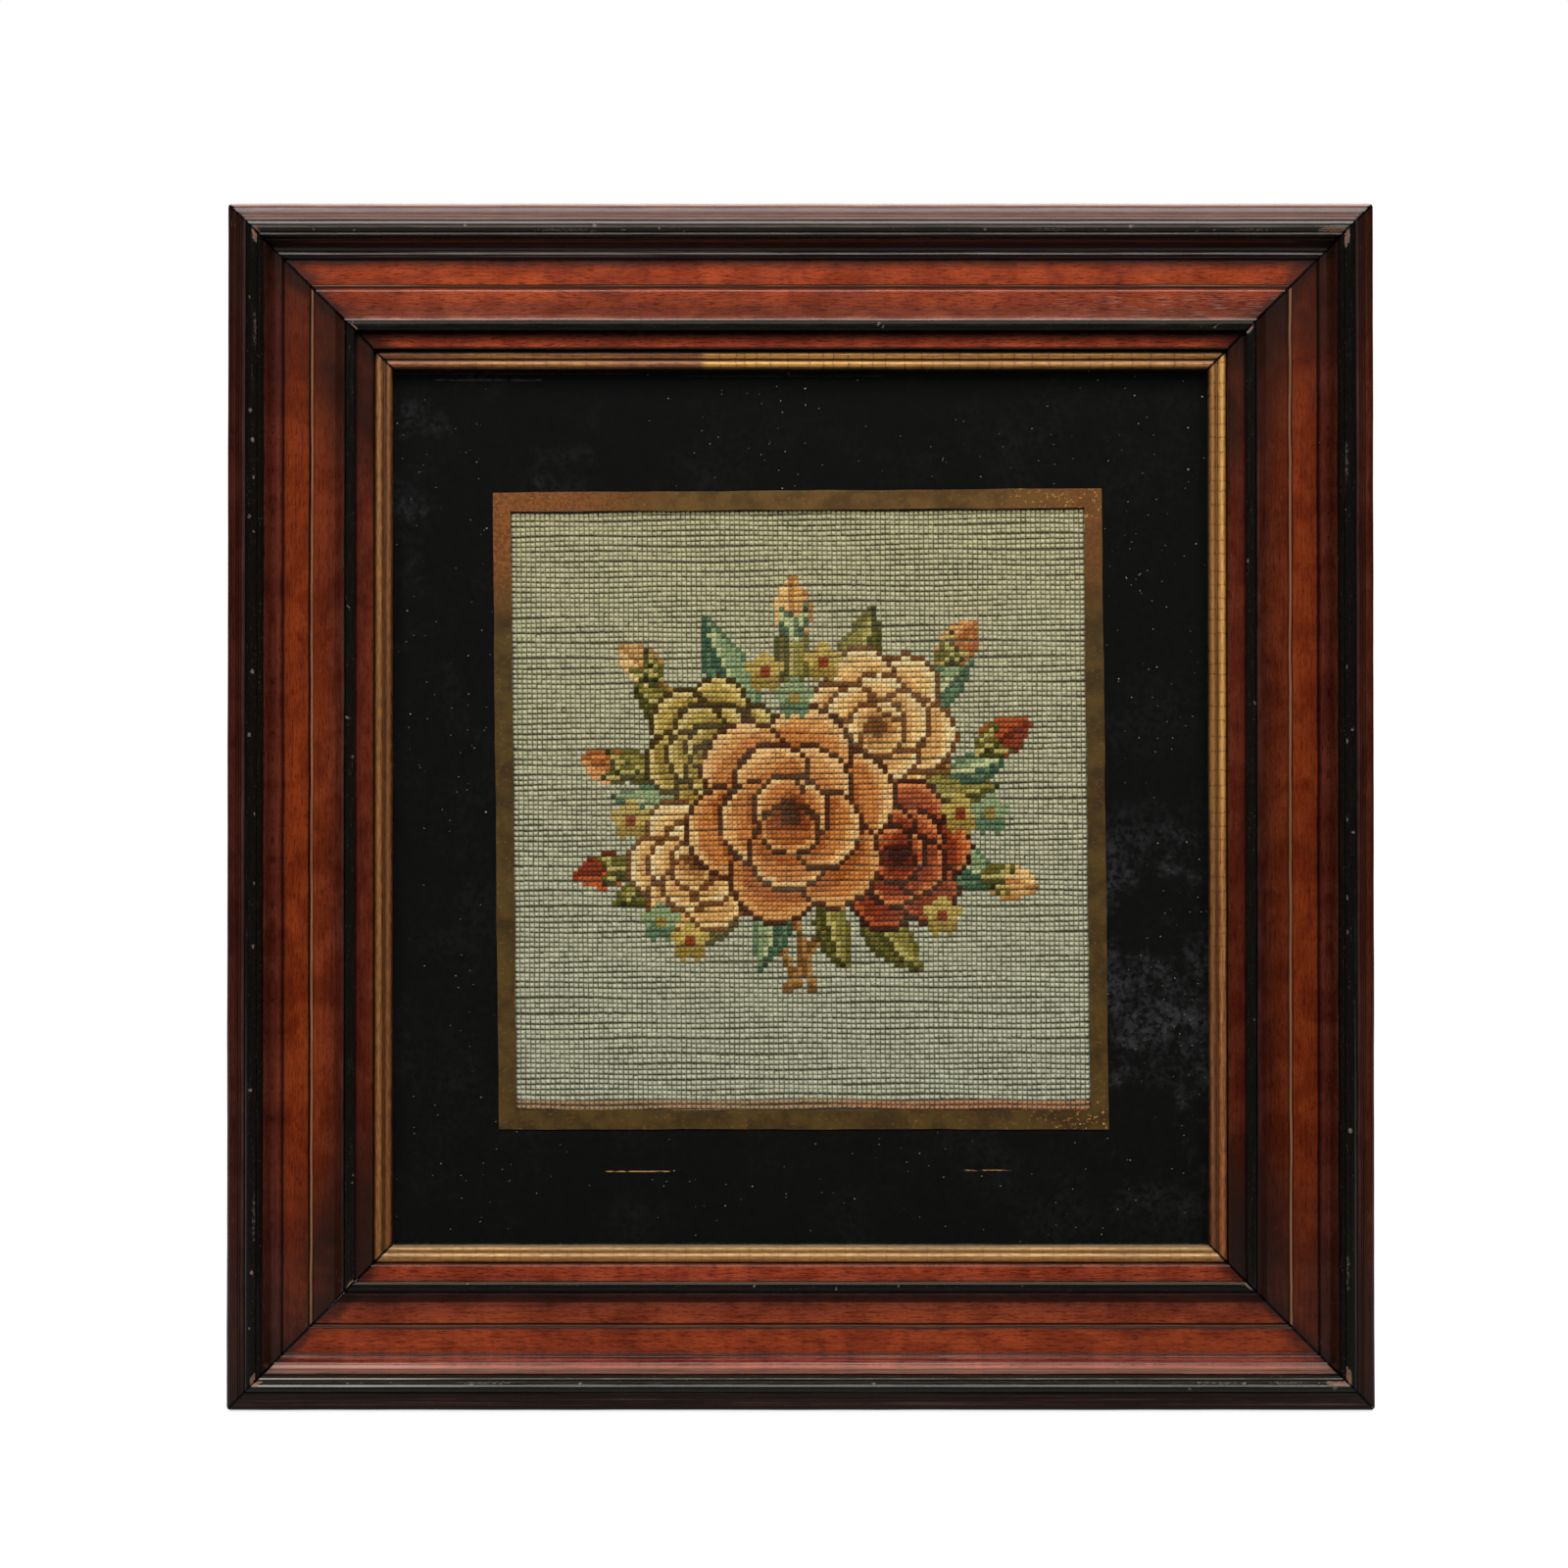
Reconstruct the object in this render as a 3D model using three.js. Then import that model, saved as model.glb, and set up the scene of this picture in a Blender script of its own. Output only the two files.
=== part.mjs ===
// Framed needlepoint picture: a square of wool needlepoint behind painted glass, in a mitred
// mahogany moulding with two ebonised beads and a gilt slip.
// Millimetres, +X across, +Z up. The picture faces -Y and the frame stands on its lower edge.

import * as THREE from 'three';

// Whole frame
const FRAME_WIDTH = 420;
const FRAME_HEIGHT = 442;
const FRAME_DEPTH = 38;
const GAP = 0.3; // clearance kept between neighbouring pieces
const ARC_STEPS = 10; // flat steps in each curved stretch of a moulding

// Across the moulding, measured inwards from its outer edge
const OVOLO_WIDTH = 3.2;
const SHOULDER_START = 6.2;
const OUTER_BEAD = { start: 7.1, end: 13.1 };
const RIDGE = { centre: 9.35, halfWidth: 0.35 }; // the rounded crest of the outer bead
const REED = { centre: 11.9, radius: 0.5 }; // the thin reed along the outer bead's inner foot
const OGEE = { end: 17.4, fillet: 2.1, crest: 1.4, hollow: 2.2 }; // crest and hollow: its controls' reach
const PANEL_START = 20.3;
const GROOVE = { centre: 30.5, halfWidth: 0.8, depth: 1 };
const RISE_START = 38.9; // where the inner panel slopes up to the inner bead
const INNER_BEAD = { start: 42.9, end: 46.4, rounding: 0.9 };
const REBATE_EDGE = 46;
const RAIL_SIGHT = 52.8;
const SLIP_BEAD_WIDTH = 3.1;
const SLIP_GROOVE_WIDTH = 0.5;
const SLIP_SIGHT = 59.2;
const EASED_EDGE = 0.6; // width of the bevel that rubs an arris off

// Heights, measured forwards from the back of the frame
const OUTER_SIDE_HEIGHT = 29.5;
const OVOLO_HEIGHT = 32.4;
const SHOULDER_HEIGHT = 34.2;
const OUTER_SEAT_HEIGHT = 33;
const OUTER_BEAD_SPRING = 35.7;
const RIDGE_SIDES = 37.85;
const RIDGE_FLANKS = 37.2; // how high the pulls of the curves beside the ridge lie
const REED_HEIGHT = 36.2;
const OUTER_BEAD_FOOT = 35.4;
const OGEE_TOP = 33.6;
const OGEE_CREST = 32.4;
const OGEE_FOOT = 27.2;
const PANEL_HEIGHT = 25;
const INNER_PANEL_HEIGHT = 24.4;
const INNER_SHOULDER_HEIGHT = 26.8;
const INNER_SEAT_HEIGHT = 23.6;
const INNER_BEAD_CROWN = 28.8;
const SIGHT_FLAT_START = 24;
const RAIL_SIGHT_HEIGHT = 23.6;
const REBATE_CEILING = 15.4;
const SLIP_BACK = 12;
const SLIP_BEAD_CROWN = 19.6;
const SLIP_GROOVE_HEIGHT = 17.4;
const SLIP_INNER_CROWN = 19.4;

// Sheets held in the rebate, from the front to the back
const GLASS = { front: SLIP_BACK - GAP, thickness: 2 };
const FOIL = { front: GLASS.front - GLASS.thickness - GAP, thickness: 0.4 };
const PAINT = { front: FOIL.front - FOIL.thickness - GAP, thickness: 0.4 };
const CANVAS = { front: PAINT.front - PAINT.thickness - GAP, thickness: 2 };
const BACKBOARD = { front: CANVAS.front - CANVAS.thickness - GAP, thickness: 4 };
const SHEET_PLAY = 0.5; // room round the sheets' edges
const SHEET_WIDTH = FRAME_WIDTH - 2 * (REBATE_EDGE + SHEET_PLAY);
const SHEET_HEIGHT = FRAME_HEIGHT - 2 * (REBATE_EDGE + SHEET_PLAY);

// The gold line round the picture window, which was laid a little out of square
const WINDOW_WIDTH = 212.4;
const WINDOW_HEIGHT = 222.2;
const BORDER_WIDTH = 225.6;
const BORDER_HEIGHT = 236.4;
const BORDER_CENTRE_DROP = 1.2; // below the middle of the frame
const UPRIGHT_LEAN = Math.tan(THREE.MathUtils.degToRad(0.6));
const TOP_TILT = Math.tan(THREE.MathUtils.degToRad(0.4));
const PAINT_LAP = 2.5; // of the black paint behind the gold

const SIDES = [
  { name: 'bottom', turn: 0, reach: FRAME_HEIGHT / 2, span: FRAME_WIDTH },
  { name: 'left', turn: Math.PI / 2, reach: FRAME_WIDTH / 2, span: FRAME_HEIGHT },
  { name: 'top', turn: Math.PI, reach: FRAME_HEIGHT / 2, span: FRAME_WIDTH },
  { name: 'right', turn: -Math.PI / 2, reach: FRAME_WIDTH / 2, span: FRAME_HEIGHT },
];

const finishes = {
  mahogany: new THREE.MeshStandardMaterial({ color: 0x7a2c18, roughness: 0.38 }),
  ebonised: new THREE.MeshStandardMaterial({ color: 0x141210, roughness: 0.28 }),
  gilt: new THREE.MeshStandardMaterial({ color: 0xb88a42, roughness: 0.42, metalness: 0.8 }),
  glass: new THREE.MeshStandardMaterial({ color: 0xeef4f2, roughness: 0.05 }),
  paint: new THREE.MeshStandardMaterial({ color: 0x0c0c0c, roughness: 0.3 }),
  foil: new THREE.MeshStandardMaterial({ color: 0x6a4a20, roughness: 0.5, metalness: 0.7 }),
  wool: new THREE.MeshStandardMaterial({ color: 0xa5ad8d, roughness: 0.95 }),
  board: new THREE.MeshStandardMaterial({ color: 0xa98a5e, roughness: 0.85 }),
};

// Sections of the mouldings: x runs inwards from the frame's outer edge, y forwards from its back.

function railSection() {
  const section = new THREE.Shape();
  section.moveTo(0, 0);
  section.lineTo(0, OUTER_SIDE_HEIGHT);
  convexTo(section, OVOLO_WIDTH, OVOLO_HEIGHT, OUTER_SIDE_HEIGHT);
  section.lineTo(SHOULDER_START, SHOULDER_HEIGHT);
  outerBeadSeat(section);
  ogeeAndPanels(section);
  innerBeadSeat(section);
  section.lineTo(RAIL_SIGHT - EASED_EDGE, RAIL_SIGHT_HEIGHT);
  section.lineTo(RAIL_SIGHT, RAIL_SIGHT_HEIGHT - EASED_EDGE);
  section.lineTo(RAIL_SIGHT, REBATE_CEILING);
  section.lineTo(REBATE_EDGE, REBATE_CEILING);
  section.lineTo(REBATE_EDGE, 0);
  section.closePath();
  return section;
}

// A quarter round that swells from the outer edge at one height up to a point in front of it.
function convexTo(section, x, height, fromHeight) {
  section.absellipse(x, fromHeight, x, height - fromHeight, Math.PI, Math.PI / 2, true);
}

// A half round on top of a fillet or bead, between two points across the moulding.
function beadTo(section, start, end, crown) {
  const radius = (end - start) / 2;
  section.lineTo(start, crown - radius);
  section.absellipse(start + radius, crown - radius, radius, radius, Math.PI, 0, true);
}

function outerBeadSeat(section) {
  section.lineTo(OUTER_BEAD.start - GAP, SHOULDER_HEIGHT);
  section.lineTo(OUTER_BEAD.start - GAP, OUTER_SEAT_HEIGHT);
  section.lineTo(OUTER_BEAD.end + GAP, OUTER_SEAT_HEIGHT);
  section.lineTo(OUTER_BEAD.end + GAP, OGEE_TOP);
}

function ogeeAndPanels(section) {
  const ogeeStart = OUTER_BEAD.end + GAP;
  const crest = ogeeStart + OGEE.crest;
  const hollow = OGEE.end - OGEE.hollow;
  section.bezierCurveTo(crest, OGEE_CREST, hollow, OGEE_FOOT, OGEE.end, OGEE_FOOT);
  section.lineTo(OGEE.end + OGEE.fillet, OGEE_FOOT);
  section.lineTo(PANEL_START, PANEL_HEIGHT);
  section.lineTo(GROOVE.centre - GROOVE.halfWidth, PANEL_HEIGHT);
  section.lineTo(GROOVE.centre, INNER_PANEL_HEIGHT - GROOVE.depth);
  section.lineTo(GROOVE.centre + GROOVE.halfWidth, INNER_PANEL_HEIGHT);
  section.lineTo(RISE_START, INNER_PANEL_HEIGHT);
  section.lineTo(INNER_BEAD.start - GAP, INNER_SHOULDER_HEIGHT);
}

function innerBeadSeat(section) {
  section.lineTo(INNER_BEAD.start - GAP, INNER_SEAT_HEIGHT);
  section.lineTo(INNER_BEAD.end + GAP, INNER_SEAT_HEIGHT);
  section.lineTo(INNER_BEAD.end + GAP, SIGHT_FLAT_START);
}

function outerBeadSection() {
  const { start, end } = OUTER_BEAD;
  const ridgeStart = RIDGE.centre - RIDGE.halfWidth;
  const ridgeEnd = RIDGE.centre + RIDGE.halfWidth;
  const reedStart = REED.centre - REED.radius;
  const ridgePull = 2 * FRAME_DEPTH - RIDGE_SIDES; // brings the crest up to the frame's full depth
  const section = new THREE.Shape();
  section.moveTo(start, OUTER_SEAT_HEIGHT + GAP);
  section.lineTo(start, OUTER_BEAD_SPRING);
  section.quadraticCurveTo(start + REED.radius, RIDGE_FLANKS, ridgeStart, RIDGE_SIDES);
  section.quadraticCurveTo(RIDGE.centre, ridgePull, ridgeEnd, RIDGE_SIDES);
  section.quadraticCurveTo(reedStart - REED.radius, RIDGE_FLANKS, reedStart, REED_HEIGHT);
  section.absellipse(REED.centre, REED_HEIGHT, REED.radius, REED.radius, Math.PI, 0, true);
  section.lineTo(end, OUTER_BEAD_FOOT);
  section.lineTo(end, OUTER_SEAT_HEIGHT + GAP);
  section.closePath();
  return section;
}

function innerBeadSection() {
  const { start, end, rounding } = INNER_BEAD;
  const shoulder = INNER_BEAD_CROWN - rounding;
  const section = new THREE.Shape();
  section.moveTo(start, INNER_SEAT_HEIGHT + GAP);
  section.lineTo(start, shoulder);
  section.absarc(start + rounding, shoulder, rounding, Math.PI, Math.PI / 2, true);
  section.absarc(end - rounding, shoulder, rounding, Math.PI / 2, 0, true);
  section.lineTo(end, INNER_SEAT_HEIGHT + GAP);
  section.closePath();
  return section;
}

function slipSection() {
  const flange = REBATE_EDGE + SHEET_PLAY;
  const front = RAIL_SIGHT + GAP;
  const grooveStart = front + SLIP_BEAD_WIDTH;
  const grooveEnd = grooveStart + SLIP_GROOVE_WIDTH;
  const section = new THREE.Shape();
  section.moveTo(flange, SLIP_BACK);
  section.lineTo(flange, REBATE_CEILING - GAP);
  section.lineTo(front, REBATE_CEILING - GAP);
  beadTo(section, front, grooveStart, SLIP_BEAD_CROWN);
  section.lineTo(grooveStart, SLIP_GROOVE_HEIGHT);
  section.lineTo(grooveEnd, SLIP_GROOVE_HEIGHT);
  beadTo(section, grooveEnd, SLIP_SIGHT, SLIP_INNER_CROWN);
  section.lineTo(SLIP_SIGHT, SLIP_BACK);
  section.closePath();
  return section;
}

// A moulding cut to 45 degrees at both ends: each point of its section runs on as far as its
// place across the frame lets it, less half the gap of the joint.
function mitred(section, span) {
  const options = { depth: 1, bevelEnabled: false, curveSegments: ARC_STEPS };
  const geometry = new THREE.ExtrudeGeometry(section, options);
  const place = geometry.attributes.position;
  const halfGap = (GAP / 2) * Math.SQRT2;
  for (let i = 0; i < place.count; i += 1) {
    const reach = span / 2 - place.getX(i) - halfGap;
    place.setZ(i, place.getZ(i) > 0.5 ? reach : -reach);
  }
  geometry.computeVertexNormals();
  return geometry;
}

// One side of the frame, drawn as the bottom one and turned about the frame's middle.
function frameSide({ name, turn, reach, span }) {
  const inwards = new THREE.Vector3(0, 0, 1);
  const forwards = new THREE.Vector3(0, -1, 0);
  const along = new THREE.Vector3(1, 0, 0);
  const stance = new THREE.Matrix4().makeBasis(inwards, forwards, along);
  const side = new THREE.Group();
  const add = (piece, section, finish) => {
    const mesh = new THREE.Mesh(mitred(section, span), finish);
    mesh.name = `${piece}_${name}`;
    mesh.quaternion.setFromRotationMatrix(stance);
    mesh.position.set(0, FRAME_DEPTH / 2, -reach);
    side.add(mesh);
  };
  add('rail', railSection(), finishes.mahogany);
  add('outer_bead', outerBeadSection(), finishes.ebonised);
  add('inner_bead', innerBeadSection(), finishes.ebonised);
  add('gilt_slip', slipSection(), finishes.gilt);
  side.rotation.y = turn;
  side.position.z = FRAME_HEIGHT / 2;
  return side;
}

function rebateSheet(name, { front, thickness }, finish) {
  const mesh = new THREE.Mesh(new THREE.BoxGeometry(SHEET_WIDTH, thickness, SHEET_HEIGHT), finish);
  mesh.name = name;
  mesh.position.set(0, FRAME_DEPTH / 2 - front + thickness / 2, FRAME_HEIGHT / 2);
  return mesh;
}

// Where a point of a true rectangle round the window lies once the window is out of square.
function skewed(x, z) {
  const share = 0.5 + z / BORDER_HEIGHT;
  return new THREE.Vector2(x - z * UPRIGHT_LEAN, z - BORDER_CENTRE_DROP + x * TOP_TILT * share);
}

function skewedCorners(left, right, bottom, top) {
  return [skewed(left, bottom), skewed(right, bottom), skewed(right, top), skewed(left, top)];
}

// A flat film lying in the picture's plane, its front at the given height above the back.
function film(name, shape, { front, thickness }, finish) {
  const geometry = new THREE.ExtrudeGeometry(shape, { depth: thickness, bevelEnabled: false });
  geometry.rotateX(Math.PI / 2);
  const mesh = new THREE.Mesh(geometry, finish);
  mesh.name = name;
  mesh.position.set(0, FRAME_DEPTH / 2 - front + thickness, FRAME_HEIGHT / 2);
  return mesh;
}

function goldBorder() {
  const window = { x: WINDOW_WIDTH / 2, z: WINDOW_HEIGHT / 2 };
  const outer = { x: BORDER_WIDTH / 2, z: BORDER_HEIGHT / 2 };
  const strips = [
    ['left', -outer.x, -window.x, -outer.z, outer.z],
    ['right', window.x, outer.x, -outer.z, outer.z],
    ['bottom', GAP - window.x, window.x - GAP, -outer.z, -window.z],
    ['top', GAP - window.x, window.x - GAP, window.z, outer.z],
  ];
  const border = new THREE.Group();
  for (const [side, ...edges] of strips) {
    const shape = new THREE.Shape(skewedCorners(...edges));
    border.add(film(`gold_border_${side}`, shape, FOIL, finishes.foil));
  }
  return border;
}

function paintedGround() {
  const x = SHEET_WIDTH / 2;
  const z = SHEET_HEIGHT / 2;
  const holeX = BORDER_WIDTH / 2 - PAINT_LAP;
  const holeZ = BORDER_HEIGHT / 2 - PAINT_LAP;
  const corners = [[-x, -z], [x, -z], [x, z], [-x, z]].map(([px, pz]) => new THREE.Vector2(px, pz));
  const shape = new THREE.Shape(corners);
  shape.holes.push(new THREE.Path(skewedCorners(-holeX, holeX, -holeZ, holeZ)));
  return film('painted_ground', shape, PAINT, finishes.paint);
}

const picture = new THREE.Group();
for (const side of SIDES) {
  picture.add(frameSide(side));
}
picture.add(rebateSheet('glass', GLASS, finishes.glass));
picture.add(goldBorder());
picture.add(paintedGround());
picture.add(rebateSheet('needlepoint', CANVAS, finishes.wool));
picture.add(rebateSheet('backboard', BACKBOARD, finishes.board));

export default picture;
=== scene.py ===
"""A framed needlepoint picture: flowers worked in wool behind black painted glass, in a mahogany frame."""

from math import cos, pi, radians, sin, sqrt, tan

import bpy
import numpy as np
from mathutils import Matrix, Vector


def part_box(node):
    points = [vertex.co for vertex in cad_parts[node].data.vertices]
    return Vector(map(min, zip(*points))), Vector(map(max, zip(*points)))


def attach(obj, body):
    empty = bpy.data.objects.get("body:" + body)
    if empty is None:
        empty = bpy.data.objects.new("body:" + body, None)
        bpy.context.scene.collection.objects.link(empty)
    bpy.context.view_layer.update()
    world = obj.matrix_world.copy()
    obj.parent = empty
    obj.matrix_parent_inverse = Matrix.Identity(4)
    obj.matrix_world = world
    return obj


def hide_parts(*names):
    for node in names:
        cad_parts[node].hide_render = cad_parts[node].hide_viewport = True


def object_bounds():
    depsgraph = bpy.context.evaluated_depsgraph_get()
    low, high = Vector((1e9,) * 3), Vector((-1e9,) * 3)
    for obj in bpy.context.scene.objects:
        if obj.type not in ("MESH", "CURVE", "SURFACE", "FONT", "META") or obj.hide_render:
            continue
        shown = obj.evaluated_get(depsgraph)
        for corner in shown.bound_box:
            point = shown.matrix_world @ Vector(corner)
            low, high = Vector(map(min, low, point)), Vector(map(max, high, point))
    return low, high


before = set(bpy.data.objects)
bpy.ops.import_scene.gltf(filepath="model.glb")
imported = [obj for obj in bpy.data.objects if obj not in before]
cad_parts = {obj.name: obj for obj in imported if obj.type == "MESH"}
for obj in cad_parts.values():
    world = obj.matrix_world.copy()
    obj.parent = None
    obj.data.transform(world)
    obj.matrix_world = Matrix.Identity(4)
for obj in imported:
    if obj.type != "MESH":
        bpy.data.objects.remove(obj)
scene = bpy.context.scene
CAD_LOW, CAD_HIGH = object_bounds()

# Sizes are in millimetres up to the point where vertices are written, and a section's points are
# (inwards from the outer edge, forwards from the back).
MM = 0.001
WIDTH, DEPTH, HEIGHT = ((high - low) / MM for low, high in zip(CAD_LOW, CAD_HIGH))
MITRE_GAP = 0.3
ROUNDED = 1.8  # radius worn on the frame's outer corners
ROUNDED_BACK = 0.293 * ROUNDED  # how far that takes each corner back
FACE_BACK = 15.6  # a rail is unfinished wood behind this, inside its outer face
NEXT_SIDE = 1000  # each side's grain starts this much further along
SIGHT = 54  # where a rail's last colour ends
RISE = 20.7  # where its panels begin
THREAD = 0.9  # the canvas's
BORDER_WIDTH, BORDER_HEIGHT = 225.6, 236.4
WINDOW_WIDTH, WINDOW_HEIGHT = 212.4, 222.2
BORDER_DROP = 1.2
UPRIGHT_LEAN = tan(radians(0.6))
TOP_TILT = tan(radians(0.4))
FOIL = (9.4, 9)
CANVAS_BACK, CANVAS_FRONT = 6.1, 6.6
STITCHES = 118

# Each side: the turn from the bottom one about the picture's middle, how far out it lies, its length.
SIDES = {
    "bottom": (0, HEIGHT / 2, WIDTH),
    "left": (pi / 2, WIDTH / 2, HEIGHT),
    "top": (pi, HEIGHT / 2, WIDTH),
    "right": (-pi / 2, WIDTH / 2, HEIGHT),
}


def by_side(*values):
    """One value each for the bottom, left, top and right."""
    return dict(zip(SIDES, values))


# ---- sections


def arc(centre, radii, start, end, steps):
    """Points of an elliptical arc, angles in degrees, each with no easing."""
    turns = np.radians(np.linspace(start, end, steps + 1))
    return [(centre[0] + radii[0] * cos(t), centre[1] + radii[1] * sin(t), 0) for t in turns]


def eased(corners, steps=3):
    """A section's outline with each (x, y, easing) corner rounded off by that many millimetres."""
    points = []
    for k, (x, y, easing) in enumerate(corners):
        here = np.array((x, y), float)
        if not easing:
            points.append(here)
            continue
        before = np.array(corners[k - 1][:2], float) - here
        after = np.array(corners[(k + 1) % len(corners)][:2], float) - here
        start, end = (here + v / np.linalg.norm(v) * min(easing, 0.45 * np.linalg.norm(v)) for v in (before, after))
        for t in np.linspace(0, 1, steps + 1):
            points.append((1 - t) ** 2 * start + 2 * t * (1 - t) * here + t * t * end)
    return np.array(points)


def braced(points):
    """An outline with extra points beside the ends of its long flats, which keeps their shading flat."""
    outline = []
    for here, after in zip(points, np.roll(points, -1, 0)):
        outline.append(here)
        run = after - here
        length = np.linalg.norm(run)
        if length > 1.2:
            outline += [here + run * 0.15 / length, after - run * 0.15 / length]
    return np.array(outline)


def curve(start, pull, draw, end, steps):
    """Points of a cubic curve between two points, each with no easing."""
    corners = []
    for t in np.linspace(0, 1, steps + 1):
        weights = ((1 - t) ** 3, 3 * t * (1 - t) ** 2, 3 * t * t * (1 - t), t**3)
        corners.append((*(sum(w * p[k] for w, p in zip(weights, (start, pull, draw, end))) for k in (0, 1)), 0))
    return corners


def rail_section():
    corners = [(0, 0, 0.5), (0, 29.5, 0), *arc((3.2, 29.5), (3.2, 2.9), 180, 90, 8)[1:]]
    corners += [(3.4, 32.6, 0.1), (4.2, 33, 0.05), (4.35, 32.8, 0), (4.5, 33.2, 0.05)]
    corners += [(5.1, 33.55, 0.05), (5.25, 33.3, 0), (5.4, 33.75, 0.05), (6.2, 34.2, 0.25), (6.8, 34.2, 0.15)]
    corners += [(6.8, 33, 0), (13.4, 33, 0)] + curve((13.4, 33.6), (14.8, 32.4), (15.2, 27.2), (17.4, 27.2), 12)
    corners += [(18.6, 27.35, 0.4), (19.5, 27.2, 0.3), (20.3, 25, 0.1), (29.7, 25, 0.25), (30.4, 23.7, 0)]
    corners += [(30.6, 23.7, 0), (31.4, 24.4, 0.3), (38.9, 24.4, 0), (41.8, 26.5, 0.3), (42.6, 26.8, 0.15)]
    corners += [(42.6, 23.6, 0), (46.7, 23.6, 0), (46.7, 24, 0.25), (52.2, 23.6, 0.3), (52.8, 23, 0.2)]
    corners += [(52.8, 15.4, 0), (46, 15.4, 0), (46, 0, 0.3)]
    return braced(eased(corners))


def outer_bead_section():
    """A bead that rises to a narrow ridge, with a thin reed along its inner foot."""
    corners = [(7.1, 33.3, 0), *curve((7.1, 35.7), (7.4, 36.7), (8.2, 37.5), (9, 37.85), 5)]
    corners += [(9.15, 37.94, 0), (9.35, 38, 0), (9.55, 37.94, 0)]
    corners += curve((9.7, 37.85), (10.5, 37.45), (11.2, 36.9), (11.4, 36.2), 5)
    corners += arc((11.9, 36.2), (0.5, 0.5), 180, 0, 6)[1:] + [(13.1, 35.4, 0.3), (13.1, 33.3, 0)]
    return eased(corners)


def inner_bead_section():
    """A flat-topped bead with rounded shoulders."""
    corners = [(42.9, 23.9, 0), *arc((43.8, 27.9), (0.9, 0.9), 180, 90, 5), *arc((45.5, 27.9), (0.9, 0.9), 90, 0, 5)]
    return eased(corners + [(46.4, 23.9, 0)])


def slip_section(side):
    """Two beads with a groove between: round on top, flattened on the uprights, filled in on the bottom."""
    corners = [(46.5, 12, 0.2), (46.5, 15.1, 0), (53.05, 15.1, 0)]
    if side == "top":
        corners += arc((54.65, 18.05), (1.55, 1.55), 180, 0, 8)
    elif side == "bottom":
        corners += [(53.05, 18.7, 0.3), (53.8, 19.3, 0.4), (55.6, 19.4, 0.3), (56.2, 19, 0.2)]
        corners += [(56.8, 19, 0.2), (57.3, 19.4, 0.3), (58.4, 19.4, 0.5), (59.2, 18.2, 0.3)]
    else:
        corners += [(53.05, 18.8, 0.35), (53.8, 19.45, 0.4), (55.3, 19.5, 0.4), (56, 18.6, 0.2)]
    if side != "bottom":
        corners += [(56.2, 17.4, 0), (56.7, 17.4, 0)] + arc((57.95, 18.15), (1.25, 1.25), 180, 0, 8)
    return braced(eased(corners + [(59.2, 12, 0.1)]))


# ---- meshes


def placed(name, data):
    thing = bpy.data.objects.new(name, data)
    scene.collection.objects.link(thing)
    return thing


def new_piece(name, points, faces, materials, nodes, face_materials=None, sharp=30):
    """A mesh of points in millimetres that rides with the picture and stands for CAD nodes."""
    mesh = bpy.data.meshes.new(name)
    mesh.from_pydata((np.asarray(points) * MM).tolist(), [], faces)
    for material in materials:
        mesh.materials.append(material)
    if face_materials is not None:
        mesh.polygons.foreach_set("material_index", np.asarray(face_materials, np.int32))
    mesh.polygons.foreach_set("use_smooth", np.ones(len(mesh.polygons), bool))
    if sharp:
        mesh.set_sharp_from_angle(angle=radians(sharp))
    piece = placed(name, mesh)
    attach(piece, "root")
    if nodes:
        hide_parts(*nodes)
    return piece


def store(piece, name, kind, values):
    """Keeps a value for each vertex, for the materials to read."""
    attribute = piece.data.attributes.new(name, kind, "POINT")
    key = {"FLOAT": "value", "FLOAT_VECTOR": "vector", "FLOAT_COLOR": "color"}[kind]
    attribute.data.foreach_set(key, np.asarray(values, np.float32).ravel())


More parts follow.
